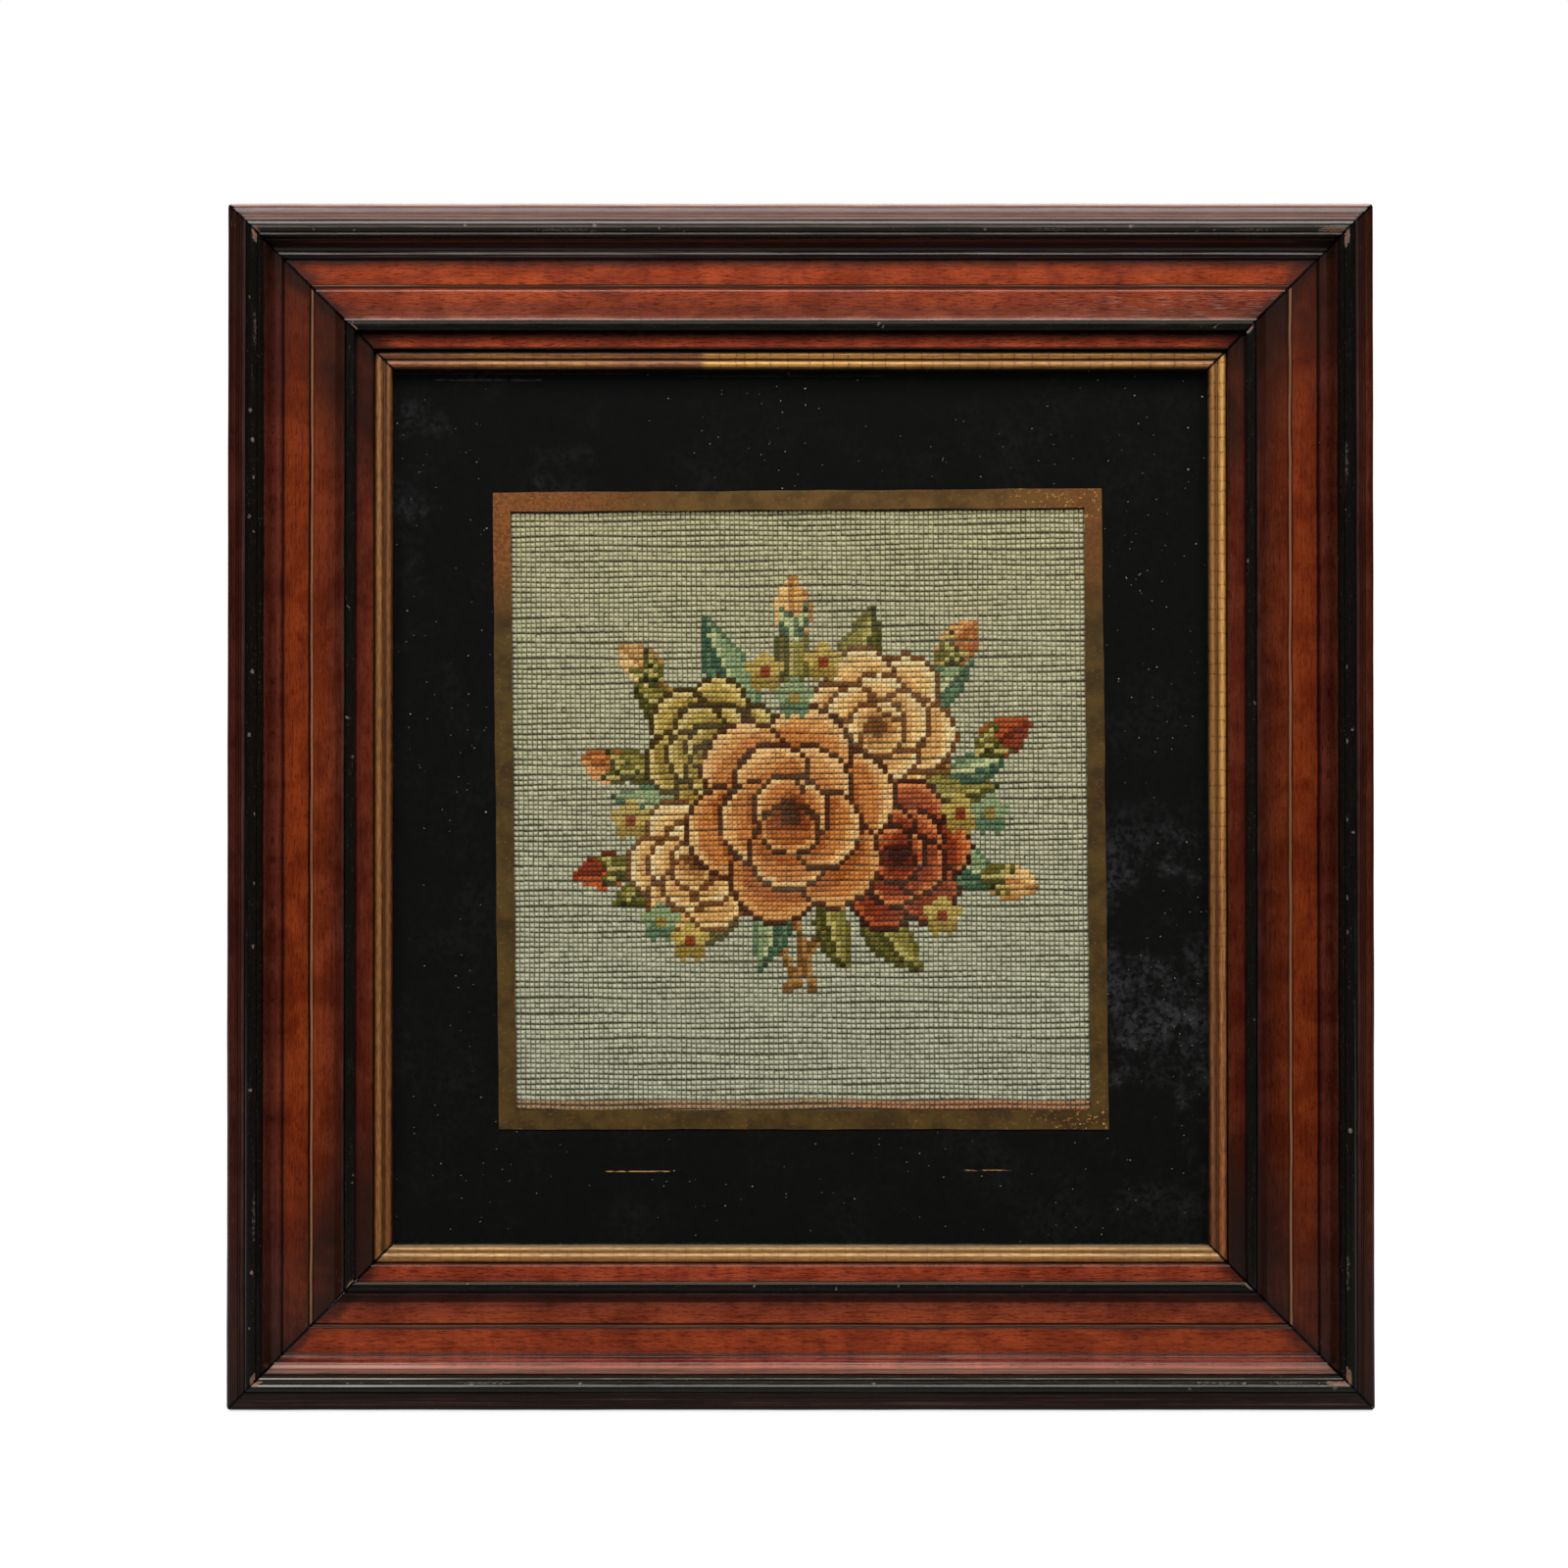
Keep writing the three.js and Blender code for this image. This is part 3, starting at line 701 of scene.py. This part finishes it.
def work(chart, mask, wool_name, level):
    """Works the masked stitches in a wool, from its darkest shade at level 0 to its palest at 1."""
    top = len(WOOL[wool_name]) - 1
    step = np.broadcast_to(np.clip(np.rint(level * top), 0, top).astype(int), chart.shape)
    chart[mask] = FIRST[wool_name] + step[mask]


def leaf(chart, root, angle, length, width, wool_name, bend=0):
    """A pointed leaf with a pale vein, lighter on its upper side."""
    along, across = turned(root, angle)
    share = along / length
    across = across - bend * length * share * (1 - share) * 4
    half = width / 2 * np.sin(np.pi * np.clip(share, 0, 1) ** 0.8) ** 0.85 + 0.15
    inside = (share > 0) & (share < 1) & (np.abs(across) < half)
    upper = np.sign(cos(radians(angle))) * across > 0
    tone = np.where(upper, 0.62, 0.3) + 0.16 * np.abs(across) / half
    tone = np.where(np.abs(across) > half - 0.9, tone - 0.26, tone)
    tone = np.where((np.abs(across) < 0.55) & (share < 0.85), 0.95, tone)
    work(chart, inside, wool_name, tone)


def petal(chart, centre, angle, reach, length, width, wool_name, pale):
    """One rounded petal: a dark edge in shadow, then shades that pale towards the lip."""
    a = radians(angle)
    middle = (centre[0] + reach * cos(a), centre[1] + reach * sin(a))
    along, across = turned(middle, angle)
    ring = np.hypot(along / length, across / width)
    work(chart, np.hypot(along / (length + 0.9), across / (width + 0.9)) < 1, wool_name, 0)
    tone = pale * (0.45 + 0.55 * along / length) + 0.12 * (across / width) ** 2
    tone = np.where(ring > 0.82, tone + 0.2, tone)
    work(chart, ring < 1, wool_name, np.clip(tone, 0.12, 1))


def rose(chart, centre, radius, wool_name, turn=0):
    """A full-blown rose: three rounds of petals about a dark heart."""
    rounds = ((6, 0.60, 0.42, 0.42, 0.82, 0), (5, 0.36, 0.32, 0.36, 0.95, 34), (3, 0.14, 0.22, 0.27, 0.8, 10))
    for count, reach, length, width, pale, start in rounds:
        for k in range(count):
            angle = turn + start + 360 * k / count
            light = pale + 0.16 * sin(radians(angle))
            petal(chart, centre, angle, reach * radius, length * radius, width * radius, wool_name, light)
    work(chart, np.hypot(*turned(centre, 0)) < 0.12 * radius, wool_name, 0)


def bud(chart, root, angle, length, wool_name, calyx):
    """A closed bud in its calyx."""
    along, across = turned(root, angle)
    share = along / length
    half = length * 0.3 * np.sin(np.pi * np.clip(share * 0.9 + 0.08, 0, 1)) ** 0.8
    inside = (share > 0.15) & (share < 1) & (np.abs(across) < half)
    work(chart, inside, wool_name, 0.6 + 0.25 * across / (half + 0.01) - 0.25 * (np.abs(across) < 0.5))
    for side in (-22, 22, 0):
        leaf(chart, root, angle + side, length * (0.62 if side else 0.45), 2.6, calyx)


def small_flower(chart, centre, wool_name, heart):
    """A five-petalled flower a few stitches across."""
    for k in range(5):
        a = radians(90 + 72 * k)
        middle = (centre[0] + 2.3 * cos(a), centre[1] + 2.3 * sin(a))
        work(chart, np.hypot(*turned(middle, 0)) < 1.75, wool_name, 0.72 if k in (0, 1, 4) else 0.45)
    work(chart, np.hypot(*turned(centre, 0)) < 1.1, heart, 0.55)


def stalk(chart, points, width):
    """A curved stalk from the first chart point to the last, drawn towards the middle one."""
    first, middle, last = (np.array(p, float) for p in points)
    nearest, lit = np.full(COLS.shape, 99), np.zeros(COLS.shape, bool)
    for t in np.linspace(0, 1, 160):
        x, y = (1 - t) ** 2 * first + 2 * t * (1 - t) * middle + t * t * last
        away = np.hypot(COLS - x, ROWS - y)
        lit = np.where(away < nearest, COLS - x + ROWS - y > 0, lit)
        nearest = np.minimum(nearest, away)
    work(chart, nearest < width / 2, "stem", np.where(lit, 0.9, 0.3))


# Where each is worked, in stitches from the lower left, and then as its function takes it.
STALKS = (
    ((40, 62), (50, 42), (58, 25)), ((76, 52), (66, 40), (56, 24)), ((58, 60), (56, 40), (61, 24)),
    ((24, 66), (34, 62), (44, 58)), ((97, 70), (88, 66), (78, 64)), ((58, 99), (58, 90), (57, 80)),
    ((27, 86), (36, 80), (42, 72)), ((92, 90), (84, 84), (76, 76)), ((20, 48), (30, 48), (44, 52)),
    ((99, 46), (90, 46), (78, 50)),
)
LEAVES = (
    ((44, 60), 176, 24, 10, "teal", 0.06), ((42, 50), 205, 24, 10, "leaf", -0.05), ((46, 46), 232, 20, 9, "leaf", 0.05),
    ((76, 62), 4, 24, 10, "leaf", -0.06), ((78, 52), -22, 25, 10, "teal", 0.06), ((72, 42), -52, 19, 9, "leaf", -0.05),
    ((50, 78), 118, 22, 9, "teal", 0.05), ((44, 72), 148, 23, 9, "leaf", 0.05), ((66, 80), 66, 21, 9, "leaf", -0.05),
    ((76, 76), 34, 23, 9, "teal", -0.05), ((58, 82), 92, 17, 7, "leaf", 0), ((54, 44), 258, 17, 8, "teal", 0.04),
    ((64, 42), 286, 15, 7, "leaf", -0.04), ((30, 66), 158, 12, 6, "leaf", 0.05), ((90, 66), 20, 13, 6, "teal", -0.05),
)
BUDS = (
    ((25, 66), 162, 12, "russet", "leaf"), ((95, 70), 28, 13, "brick", "leaf"), ((58, 92), 92, 13, "cream", "teal"),
    ((31, 84), 140, 12, "cream", "leaf"), ((88, 87), 48, 12, "russet", "leaf"), ((24, 48), 190, 12, "brick", "leaf"),
    ((96, 46), -12, 12, "cream", "leaf"),
)
ROSES = (
    ((41, 71), 13.5, "mustard", 20), ((75, 75), 15.5, "cream", 50), ((79, 50), 14.5, "brick", 10),
    ((37, 48), 13, "cream", 0), ((57, 58), 21, "russet", 15),
)
SMALL_FLOWERS = (
    ((58, 81), "teal", "mustard"), ((52, 86), "mustard", "brick"), ((64, 88), "mustard", "brick"),
    ((92, 58), "mustard", "brick"), ((98, 58), "teal", "mustard"), ((24, 57), "mustard", "brick"),
    ((88, 38), "mustard", "brick"), ((30, 37), "teal", "mustard"), ((36, 33), "mustard", "brick"),
)


def bouquet():
    """The chart of the whole picture: the number of each stitch's shade."""
    chart = np.full((STITCHES, STITCHES), FIRST["ground"])
    for points in STALKS:
        stalk(chart, points, 1.9)
    for draw, places in ((leaf, LEAVES), (bud, BUDS), (rose, ROSES), (small_flower, SMALL_FLOWERS)):
        for facts in places:
            draw(chart, *facts)
    chart[:2] = FIRST["edging"] + (COLS[:2] + 3 * ROWS[:2] > 70)
    return chart


# ---- the needlework


def skewed(x, z):
    """A point of the gold line's own frame, from the picture's middle, as it sits slightly askew."""
    share = 0.5 + z / BORDER_HEIGHT
    return x - z * UPRIGHT_LEAN, z - BORDER_DROP + x * TOP_TILT * share + HEIGHT / 2


def arm(slope, rise, foot, faces):
    """One diagonal arm of a cross stitch: points as (across, up, proud), and its faces."""
    across = {2: (-1, 0, 1), 3: (-1, -0.45, 0.45, 1)}[faces]
    lift = {2: (0, 1, 0), 3: (0, 0.9, 0.9, 0)}[faces]
    points = []
    for t in np.linspace(0, 1, 5):
        body = sin(pi * t)
        thick = 0.62 * (0.6 + 0.4 * body**0.7)
        for a, up in zip(across, lift):
            x, z = (t - 0.5) * 1.76, (t - 0.5) * 1.7 * slope
            proud = foot + (rise - foot) * body**0.6 * (0.35 + 0.65 * up)
            points.append((x - a * thick * slope * 0.707, z + a * thick * 0.707, proud))
    n = len(across)
    quads = [(s * n + p, (s + 1) * n + p, (s + 1) * n + p + 1, s * n + p + 1) for s in range(4) for p in range(n - 1)]
    if slope < 0:
        quads = [q[::-1] for q in quads]
    return np.array(points), np.array(quads)


def stitched(name, cols, rows, shades, material):
    """Cross stitches at those places of the chart, each a little different from the next, with painted shade in the
    creases between them.
    """
    under, under_faces = arm(-1, 0.95, 0, 2)
    over, over_faces = arm(1, 1.35, 0.1, 3)
    template = np.vstack([under, over])
    faces = np.vstack([under_faces, over_faces + len(under)])
    rng = np.random.default_rng(118)
    draws = rng.normal(size=(STITCHES + 4, STITCHES + 4, 6))[rows + 2, cols + 2].T[:, :, None]
    cols, rows = cols[:, None], rows[:, None]
    pitch_x, pitch_z = WINDOW_WIDTH / STITCHES, WINDOW_HEIGHT / STITCHES
    u = (cols + 0.5) * pitch_x - WINDOW_WIDTH / 2
    v = (rows + 0.5) * pitch_z - WINDOW_HEIGHT / 2
    wave = 0.22 * np.sin(u / 9.5 + rows * 0.55 + 1.3 * np.sin(rows * 0.21)) + 0.16 * np.sin(u / 23 - rows * 0.37 + 2)
    pucker = 0.24 * np.sin(rows * 2.4 + 1.1 * np.sin(u / 31 + rows * 0.05)) * np.sin(u / 47 + rows * 0.13 + 1) ** 2
    v = v + wave + pucker + draws[0] * 0.05
    u = u + 0.1 * np.sin(v / 7 + cols * 0.4) + draws[1] * 0.05
    turn = draws[2] * 0.06
    size = 1 + draws[3] * 0.05
    a, b, c = template.T
    px = size * (a * np.cos(turn) - b * np.sin(turn))
    pz = 0.95 * size * (b * np.cos(turn) + a * np.sin(turn))
    x, z = skewed(u + px, v + pz)
    proud = c * (1 + draws[4] * 0.07)
    y = DEPTH / 2 - CANVAS_FRONT - proud
    points = np.stack([x, y, z], -1).reshape(-1, 3)
    quads = (faces + (np.arange(len(cols)) * len(template))[:, None, None]).reshape(-1, 4)
    piece = new_piece(name, points, quads.tolist(), [material], [], sharp=0)
    base = np.array([rgb(*WOOL[n][k])[:3] for n, k in SHADES])[shades]
    ground = (shades == FIRST["ground"])[:, None]
    low = np.clip(0.5 - v / WINDOW_HEIGHT, 0, 1)
    cool, warm = np.array([1.05, 1.16, 1.66]), np.array([1.12, 1.11, 1.26])
    base = np.where(ground, base * (warm + (cool - warm) * low), base)
    base = base * (1 + draws[5] * 0.07)
    bluish = ground & (cols < 0) & (rows > 0.4 * STITCHES)
    base = np.where(bluish, rgb(186, 198, 190)[:3], base)
    # painted shade in the creases between rows and between columns of stitches
    shade_between_rows = np.clip((np.abs(b) - 0.45) / 0.4, 0, 1)
    shade_between_columns = np.clip((np.abs(a) - 0.45) / 0.4, 0, 1)
    plain = ground | (shades >= FIRST["edging"])[:, None]
    base = np.where(plain, base, base * (1.2, 1.1, 0.98))
    depth = np.where(plain, 1, 0.42)
    shade = (1 - 0.9 * depth * shade_between_rows) * (1 - 0.68 * depth * shade_between_columns)
    colours = np.ones((len(cols), len(template), 4))
    colours[..., :3] = base[:, None] * shade[..., None] ** np.where(plain, (1, 1, 1.5), 1)[:, None]
    store(piece, "wool_colour", "FLOAT_COLOR", colours)
    return piece


def needlework():
    """The canvas, its wool ground in three bands, and the flowers."""
    chart = np.pad(bouquet(), 1, mode="edge")
    rows, cols = (a.ravel() - 1 for a in np.indices(chart.shape))
    shades = chart.ravel()
    plain = (shades == FIRST["ground"]) | (shades >= FIRST["edging"])
    ground, bright = wool("Ground_wool", 0.25, 0.5), wool("Flower_wool", 0.06, 0.1)
    third = STITCHES / 3
    parts = {
        "wool_ground_upper": plain & (rows >= 2 * third),
        "wool_ground_middle": plain & (rows >= third) & (rows < 2 * third),
        "wool_ground_lower": plain & (rows < third),
        "wool_flowers": ~plain,
    }
    pieces = [stitched(name, cols[mask], rows[mask], shades[mask], bright if name == "wool_flowers" else ground)
              for name, mask in parts.items()]
    low, high = (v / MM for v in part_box("needlepoint"))
    gx, gz = np.meshgrid(np.linspace(low.x, high.x, 48), np.linspace(low.z, high.z, 50))
    slack = 0.12 * np.sin(gx / 17) * np.sin(gz / 23 + 1)
    front = np.stack([gx, DEPTH / 2 - CANVAS_FRONT + 0.15 + slack, gz], -1).reshape(-1, 3)
    back = front + (0, CANVAS_FRONT - CANVAS_BACK, 0)
    total = len(front)
    grid = np.arange(total).reshape(gx.shape)
    cells = np.stack([grid[:-1, :-1], grid[:-1, 1:], grid[1:, 1:], grid[1:, :-1]], -1).reshape(-1, 4)
    rim = np.concatenate([grid[0], grid[1:, -1], grid[-1, -2::-1], grid[-2:0:-1, 0]])
    after = np.roll(rim, -1)
    edge = np.stack([after, rim, rim + total, after + total], -1)
    faces = np.vstack([cells, cells[:, [0, 3, 2, 1]] + total, edge]).tolist()
    canvas = new_piece("canvas", np.vstack([front, back]), faces, [canvas_cloth()], ["needlepoint"])


# ---- the frame


# The painted light along each rail, as (place along the member in millimetres, brightness), and how far each
# slip's gold is rubbed away, from none at 0 to all at 1.
PAINTED_LIGHT_ALONG = by_side(
    [(-200, 0.95), (0, 0.98), (200, 0.86)],
    [(-200, 0.65), (0, 0.69), (200, 0.66)],
    [(-200, 0.95), (0, 1.06), (200, 1)],
    [(-200, 0.45), (0, 0.55), (200, 0.64)],
)
RUBBED = by_side(
    [(-160, 0.3), (0, 0.2), (160, 0.3)],
    [(-170, 0.75), (170, 0.85)],
    [(-160, 0.45), (-60, 0.35), (0, 0.05), (34, 0), (37, 0.7), (110, 0.5), (160, 0.8)],
    [(-170, 0.75), (-20, 0.5), (20, 0.15), (170, 0.05)],
)


# A rail's colour at (place inwards in millimetres, colour), with painted shade in its hollows and grooves and painted
# highlights on some edges, and the painted light and shade each side adds at (place, factor).
ZONES = [
    (0, (84, 40, 27)), (2.9, (86, 42, 28)), (3.4, (42, 19, 12)), (3.8, (88, 44, 29)), (4.3, (44, 20, 13)),
    (4.8, (86, 42, 28)), (5.2, (46, 21, 14)), (5.8, (104, 62, 48)), (6.6, (52, 27, 21)), (13.3, (36, 18, 14)),
    (13.8, (104, 56, 41)), (14.9, (104, 50, 35)), (15.6, (104, 46, 30)), (16.3, (98, 43, 28)),
    (17.2, (84, 38, 26)), (18.4, (100, 46, 31)), (19.4, (50, 24, 17)), (20.1, (24, 12, 9)),
    (20.7, (142, 58, 25)), (24, (152, 63, 27)), (29, (147, 61, 26)), (29.4, (28, 14, 10)),
    (29.9, (34, 17, 12)), (30.4, (70, 34, 22)), (31, (138, 62, 32)), (31.4, (150, 66, 33)),
    (35, (138, 60, 30)), (38, (122, 56, 33)), (40.6, (112, 54, 37)), (42, (112, 70, 56)),
    (42.7, (28, 15, 12)), (46.5, (76, 38, 26)), (47.2, (112, 50, 32)), (51.8, (126, 54, 31)),
    (52.6, (60, 32, 20)),
]
PAINTED_LIGHT_ACROSS = by_side(
    [(0, 0.8), (6, 0.75), (7, 1), (13.8, 0.95), (14.9, 0.85), (15.6, 2.05), (16.3, 1.45),
        (17.2, 1.5), (18.4, 1.75), (19.4, 2), (20.1, 2.9), (20.7, 1), (42.5, 1), (46.5, 2.2),
        (47.2, 1.35), (51.8, 1.25), (52.6, 1.8)],
    [(0, 1), (16, 1), (17.2, 1.2), (18.4, 1.25), (19.4, 1.7), (20.1, 2.7), (20.7, 1), (38, 1),
        (40, 0.95), (42, 0.9), (47, 1), (51, 0.9), (51.8, 0.95), (52.6, 1.9)],
    [(0, 1.1), (13, 0.6), (15.6, 0.7), (17.2, 0.45), (19.4, 0.4), (20.7, 0.5), (24, 1.12), (41.4, 1.1),
        (42, 1.5), (46.5, 0.5), (47.6, 0.4), (48.4, 0.8), (49.4, 1.3), (51.8, 1.3), (52.6, 1.1)],
    [(0, 1.1), (3, 1.3), (6, 1), (16, 1), (17.2, 1.2), (18.4, 1.15), (19.4, 1.6), (20.1, 2),
        (20.7, 1), (26, 1), (28, 1.12), (29, 1.1), (31, 0.9), (38, 0.86), (40, 0.9), (42, 0.9), (47, 1.05),
        (51.8, 1), (52.6, 2)],
)
# How much dust and painted sheen each rail's upward faces carry, and for those smoked towards their mitres, the least
# of it.
DUST_AND_SHEEN = by_side(0.36, 0.3, 0.56, 0.3)
SMOKED = by_side(0, 0.62, 0, 0.6)
# How strong each rail's polish is, where its groove's worn edge lies and how bright it is, partly a painted highlight,
# how deep the lines along its outer mouldings are, and how dark its flecks are.
SHINE = by_side(0.22, 0.2, 0.4, 0.18)
GROOVE_WEAR_AND_HIGHLIGHT = by_side((29.95, 0.12), (29.95, 0.48), (29.5, 0.9), (29.6, 0.55))
STREAKED = by_side(0.9, 0, 0.6, 0)
FLECKED = by_side(0.7, 0.5, 0.75, 0.5)
# How deep the painted shade in each slip's groove and the colour of its cracks are, and the cast of its gold, with its
# painted light and shade, at (place inwards in millimetres, colour it is multiplied by).
GROOVE_SHADE = by_side(0.1, 0.6, 0.85, 0.6)
CRAZED = by_side(0.35, 0.75, 0.75, 0.75)
GILT_CAST_AND_LIGHT = by_side(
    [(53, (190, 184, 190)), (54.4, (178, 172, 186)), (56.4, (200, 206, 222)), (58.2, (188, 194, 206))],
    [(53, (208, 226, 206)), (55, (226, 240, 214)), (57.2, (180, 184, 158)), (59, (192, 188, 160))],
    [(53, (170, 165, 160)), (54.2, (210, 205, 200)), (56, (240, 235, 230)), (58, (225, 220, 215))],
    [(53, (225, 220, 215)), (56, (228, 222, 215)), (57.2, (160, 152, 145)), (59, (176, 168, 160))],
)


def waved(seed, length, height, levels):
    """For a moulding: a slight wave in its surface, and a level read off the (place, level) list, which on a rail is
    its painted light and on a slip how rubbed it is.
    """

    def wear(along, outline):
        places, values = zip(*levels)
        return height * smooth_noise(along + outline[:, 0] * 3, seed, length), np.interp(along, places, values)

    return wear


# The chips in each outer bead, as dents() takes them.
CHIPS = by_side(
    [(1, 3.6, 3.8, 0.35), (-1, 0.8, 1.8, 0.3), (1, 22, 9, 0.07), (1, 48, 12, 0.05), (-1, 84, 14, 0.05)],
    [(1, 0.8, 2.2, 0.35), (-1, 1.2, 2.6, 0.25), (-1, 36, 9, 0.05), (1, 60, 12, 0.04)],
    [(-1, 5, 4.6, 0.35), (1, 0.4, 1, 0.25), (-1, 108, 9, 0.05), (1, 112, 14, 0.05), (-1, 34, 9, 0.04)],
    [(1, 2.4, 3.4, 0.4), (-1, 2.4, 3, 0.35), (1, 84, 10, 0.05), (-1, 40, 10, 0.04)],
)


def frame_members():
    """The rails, beads and slips of all four sides."""
    raw = raw_wood()
    level, upright = ebonised("Ebonised_outer_level", 0.26, 0.1), ebonised("Ebonised_outer_upright", 0.08, 0.1)
    inner_black = ebonised("Ebonised_inner", 0.12, 0.85)
    rail, outer, inner = rail_section(), outer_bead_section(), inner_bead_section()
    for k, side in enumerate(SIDES):
        outer_black = level if STREAKED[side] else upright
        rail_wave_and_light, slip_wear = waved(40 + k, 90, 0.05, PAINTED_LIGHT_ALONG[side]), waved(90 + k, 40, 0.04, RUBBED[side])
        outer_wear = dents(60 + k, 16, 195, (0.2, 0.8), (0.03, 0.1), CHIPS[side])
        inner_wear = dents(80 + k, 9, 165, (0.2, 0.6), (0.03, 0.08), [(1, 0.4, 0.9, 0.2)])
        for name, outline, stations, materials, slot, node, wear in (
            ("mahogany_rail", rail, 118, [mahogany(side), raw], "mahogany", "rail", rail_wave_and_light),
            ("ebonised_outer_bead", outer, 500, [outer_black], "ebonised", "outer_bead", outer_wear),
            ("ebonised_inner_bead", inner, 400, [inner_black], "ebonised", "inner_bead", inner_wear),
            ("gilded_slip", slip_section(side), 200, [gilt(side)], "gilt", "gilt_slip", slip_wear),
        ):
            bar(f"{name}_{side}", side, outline, stations, materials, f"{node}_{side}", wear)


def gold_line():
    """The strip of foil round the window, cut and laid by hand."""
    count = 360
    turn = np.linspace(0, 2 * pi, count, endpoint=False)
    reach = np.maximum(np.abs(np.cos(turn)), np.abs(np.sin(turn)))
    square = np.stack([np.cos(turn), np.sin(turn)]) / reach
    rings = []
    for width, height, seed in ((BORDER_WIDTH, BORDER_HEIGHT, 5), (WINDOW_WIDTH, WINDOW_HEIGHT, 9)):
        wobble = 0.16 * smooth_noise(turn * 110, seed, 60, 5)
        rings.append(skewed(square[0] * (width / 2 + wobble), square[1] * (height / 2 + wobble)))
    points = [(x, DEPTH / 2 - front, z) for front in FOIL for ring in rings for x, z in zip(*ring)]
    here = np.arange(4 * count).reshape(4, count)
    (a, b, c, d), (e, f, g, h) = here, np.roll(here, -1, 1)
    quads = np.array([(e, a, b, f), (c, g, h, d), (a, e, g, c), (f, b, d, h)])
    faces = quads.transpose(2, 0, 1).reshape(-1, 4).tolist()
    nodes = [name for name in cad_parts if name.startswith("gold_border")]
    new_piece("gold_line", points, faces, [foil()], nodes)


def carried_over():
    """Materials for the CAD nodes whose shape is right as it stands."""
    finishes = {"glass": pane(), "painted_ground": black_paint(), "backboard": backboard()}
    for name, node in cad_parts.items():
        if name in finishes:
            node.data.materials.clear()
            node.data.materials.append(finishes[name])


# ---- studio


def softbox(name, place, size, aim, radiance):
    """A rectangular lamp of even brightness aimed at a point."""
    lamp = bpy.data.lights.new(name, "AREA")
    lamp.shape, lamp.size, lamp.size_y = "RECTANGLE", *size
    lamp.energy = radiance * pi * size[0] * size[1]
    thing = placed(name, lamp)
    thing.location = place
    thing.rotation_euler = (Vector(aim) - Vector(place)).to_track_quat("-Z", "Y").to_euler()
    thing.visible_camera = False


def studio():
    """Three lamps, a white surround that only the camera, mirrors and glass see, and a floor for the shadow."""
    middle = (0, 0, HEIGHT / 2 * MM)
    softbox("Front", (0, -1.7, 1.45), (2, 1.3), middle, 6.6)
    softbox("Overhead", (0, 0.35, 1.5), (1.6, 1), middle, 4.2)
    softbox("Behind", (0, 1.9, 1.3), (1.8, 1.4), middle, 2.2)
    world = bpy.data.worlds.new("Studio")
    scene.world = world
    world.use_nodes = True
    w = Nodes(world.node_tree)
    w.nodes.clear()
    rays = w.add("LightPath").outputs
    x, y, z = w.split(w.add("TexCoord").outputs["Generated"])
    mirrored = w.most(rays["Is Glossy Ray"], rays["Is Transmission Ray"])
    behind = w.fit(y, 0.6, 1, kind="LINEAR")
    seen = w.most(rays["Is Camera Ray"], w.times(mirrored, behind))
    sky = w.fit(z, -0.3, 0.4, 0.04, 0.24, "LINEAR")
    room = w.add("Background", {"Color": grey(1), "Strength": w.fit(mirrored, 0, 1, sky, 0.02, "LINEAR")})
    white = w.add("Background", {"Color": grey(1), "Strength": 1})
    w.add("OutputWorld", {0: w.add("MixShader", {0: seen, 1: room.outputs[0], 2: white.outputs[0]}).outputs[0]})

    near, far, side, drop = -0.6, 4, 4, -0.0005
    mesh = bpy.data.meshes.new("Floor")
    corners = [(-side, near, drop), (side, near, drop), (side, far, drop), (-side, far, drop)]
    mesh.from_pydata(corners, [], [(0, 1, 2, 3)])
    placed("Floor", mesh)
    s = Shader("Floor")
    rays = s.add("LightPath").outputs
    place = s.add("TexCoord").outputs["Object"]
    mirrored = s.most(rays["Is Glossy Ray"], rays["Is Transmission Ray"])
    seen = s.most(rays["Is Camera Ray"], s.times(mirrored, s.fit(s.split(place)[1], -0.1, 0.3, 0.15, 1)))
    away = s.add("VectorMath", {0: place}, operation="LENGTH").outputs["Value"]
    glow = s.add("Emission", {"Color": grey(1), "Strength": s.times(seen, s.fit(away, 0.25, 0.7, 0.8, 1))})
    matt = s.add("BsdfDiffuse", {"Color": grey(0.25)})
    mesh.materials.append(s.close(s.add("AddShader", {0: matt.outputs[0], 1: glow.outputs[0]})))


def camera():
    """Square on to the picture from two metres, a little below its middle."""
    lens = bpy.data.cameras.new("Camera")
    lens.lens, lens.sensor_width = 125.6, 36
    distance, below = 2, radians(0.88)
    target = Vector((-0.0061, CAD_LOW.y + 0.004, HEIGHT / 2 * MM + 0.0079))
    view = placed("Camera", lens)
    view.location = target + distance * Vector((0, -cos(below), -sin(below)))
    view.rotation_euler = (target - view.location).to_track_quat("-Z", "Y").to_euler()
    scene.camera = view


scene.view_settings.view_transform = "Standard"
camera()
studio()
frame_members()
carried_over()
gold_line()
needlework()
